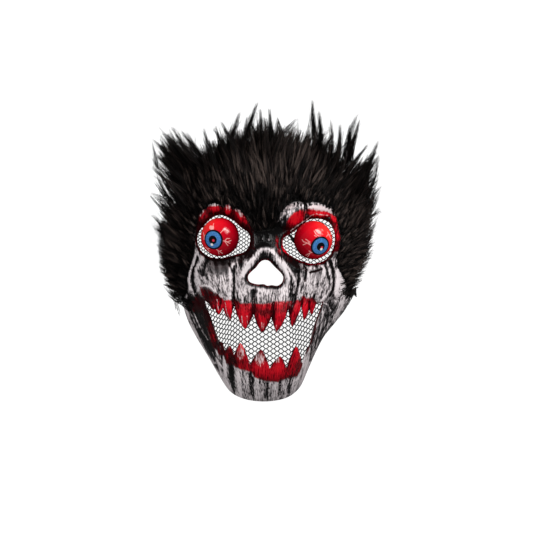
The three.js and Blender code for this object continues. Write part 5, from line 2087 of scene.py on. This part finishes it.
# %% The fringe, the strays and the whole hood
FRINGE_HAIRS = 900
FRINGE_LENGTH = (3, 7)
FRINGE_BEHIND = 0.9
FRINGE_SHAKE = 0.7
FRINGE_TURN = 1.1
FRINGE_RISE = (2.2, 1.0)  # of the knees and of the tips, over the cloth
FRINGE_SHADE = -0.8
STRAY_HAIRS = 700
STRAY_PUSH = (4, 12)
STRAY_FADE = (-45, 5)  # heights on the face between which the strays begin to stand off
STRAY_LIFT = 0.4
STRAY_KNEE = 0.3  # how far the knee goes along
STRAY_WIDTH = 0.7


def fringe():
    """Short hairs along the hairline that lie every way, so its edge is ragged."""
    p = evenly(HAIRLINE, FRINGE_HAIRS)
    p = p + FRINGE_BEHIND * flow(p) + FRINGE_SHAKE * bell(size=p.shape)
    way = turned(flow(p), FRINGE_TURN * bell(size=len(p)))
    tip = p + way * spread_between(FRINGE_LENGTH, (len(p), 1))
    base = cloth_height(p)
    return (
        np.column_stack([p, base - ROOT_SUNK]), np.column_stack([(p + tip) / 2, base + FRINGE_RISE[0]]),
        np.column_stack([tip, cloth_height(tip) + FRINGE_RISE[1]]), np.full(len(p), FRINGE_SHADE),
        spread_between(LOCK_WIDTH, len(p)),
    )


def strays():
    """Single hairs that stand off the others."""
    roots, knees, tips, shade, width = coat(STRAY_HAIRS)
    out = np.column_stack([flow(roots[:, :2]), np.full(len(roots), STRAY_LIFT)])
    push = spread_between(STRAY_PUSH, (len(roots), 1)) * ramp(roots[:, 1:2], *STRAY_FADE)
    return roots, knees + STRAY_KNEE * push * out, tips + push * out, shade, STRAY_WIDTH * width


hair_parts = [coat_hairs, *crown_locks, *tuft_locks, *side_locks, fringe(), strays()]
roots, knees, tips, shade, widths = (np.concatenate(column) for column in zip(*hair_parts))
print("hairs", len(roots))

# %% Keep the tips in the hood's size, and colour the strands
FUR_TINT_SHEEN_AND_SHADOW = [  # where the pile is browner, with painted sheen over the crown, and where nearly black, with a painted shadow among the tufts above the left eye
    # browner, with painted sheen, over the crown
    ((14, 96), (66, 36), 0, 0.26),
    ((94, 20), (34, 70), 0, 0.2),
    ((-62, 76), (46, 26), 30, 0.12),
    # painted shadow among the tufts
    ((-23, 82), (11, 10), -20, -0.3),
    ((38, 61), (18, 10), 0, -0.3),
    ((-5, 42), (40, 20), 0, -0.32),
    ((-92, -10), (30, 50), 0, -0.08),
]
PLAIN_FUR = 0.1
SHADE_SPREAD = 0.42
LIMIT = np.array([SIDE_REACH, 160.5])  # how far the hood reaches, to each side and up
LIMIT_MARGIN = 0.2


def kept_share(roots, tips):
    """How much of each hair is kept, so that none passes the hood's limit."""
    past = np.abs(tips[:, :2]) > LIMIT
    room = np.maximum(LIMIT - np.abs(roots[:, :2]), 1) / np.maximum(np.abs(tips[:, :2] - roots[:, :2]), 1)
    uneven = spread_between((0.9, 1), len(tips))
    return (np.where(past, room, 1).min(1) * np.where(past.any(1), uneven, 1))[:, None]


kept = kept_share(roots, tips)
tips = roots + (tips - roots) * kept
knees = roots + (knees - roots) * kept
paths = bend_hairs(roots, knees, tips)
edge = LIMIT - LIMIT_MARGIN
paths[..., :2] = np.clip(paths[..., :2], -edge, edge)
tone = PLAIN_FUR + patches(0.5 * (roots + tips)[:, :2], FUR_TINT_SHEEN_AND_SHADOW) + SHADE_SPREAD * shade
tone = np.clip(tone, 0, 1)
print("hairs cut short", int((kept < 1).sum()))

# %% The hair's own finish
TIP_LIGHT = 0.1  # how much lighter a hair gets towards its tip
LEAST_ROUGHNESS = 0.36
ROUGHNESS_SPREAD = 0.2
FUR_SHADES = [
    (0.0, (0.0012, 0.001, 0.001, 1)), (0.35, (0.006, 0.0048, 0.0045, 1)), (0.65, (0.024, 0.0175, 0.0155, 1)),
    (1.0, (0.085, 0.063, 0.054, 1)),
]


def fur_fibre():
    material, add, shader = new_nodes("long pile fur")
    tint = plus(add, field(add, "tone"), times(add, field(add, "reach"), TIP_LIGHT))
    streak = noise(add, add("TexCoord").outputs["Object"], 700.0)
    fill(
        add.tree, shader, Base_Color=toned(add, tint, FUR_SHADES), Specular_IOR_Level=0.1,
        Roughness=plus(add, times(add, streak, ROUGHNESS_SPREAD), LEAST_ROUGHNESS),
    )
    return material


fibre = fur_fibre()
order = np.argsort(roots[:, 0])
HOOD_PIECES = ["fur_far_left", "fur_left", "fur_right", "fur_far_right"]
for name, rows in zip(HOOD_PIECES, np.array_split(order, len(HOOD_PIECES))):
    hair = hair_mesh(name, paths[rows], widths[rows], tone[rows])
    hair.data.materials.append(fibre)
    take_place(hair, "fur_hood")
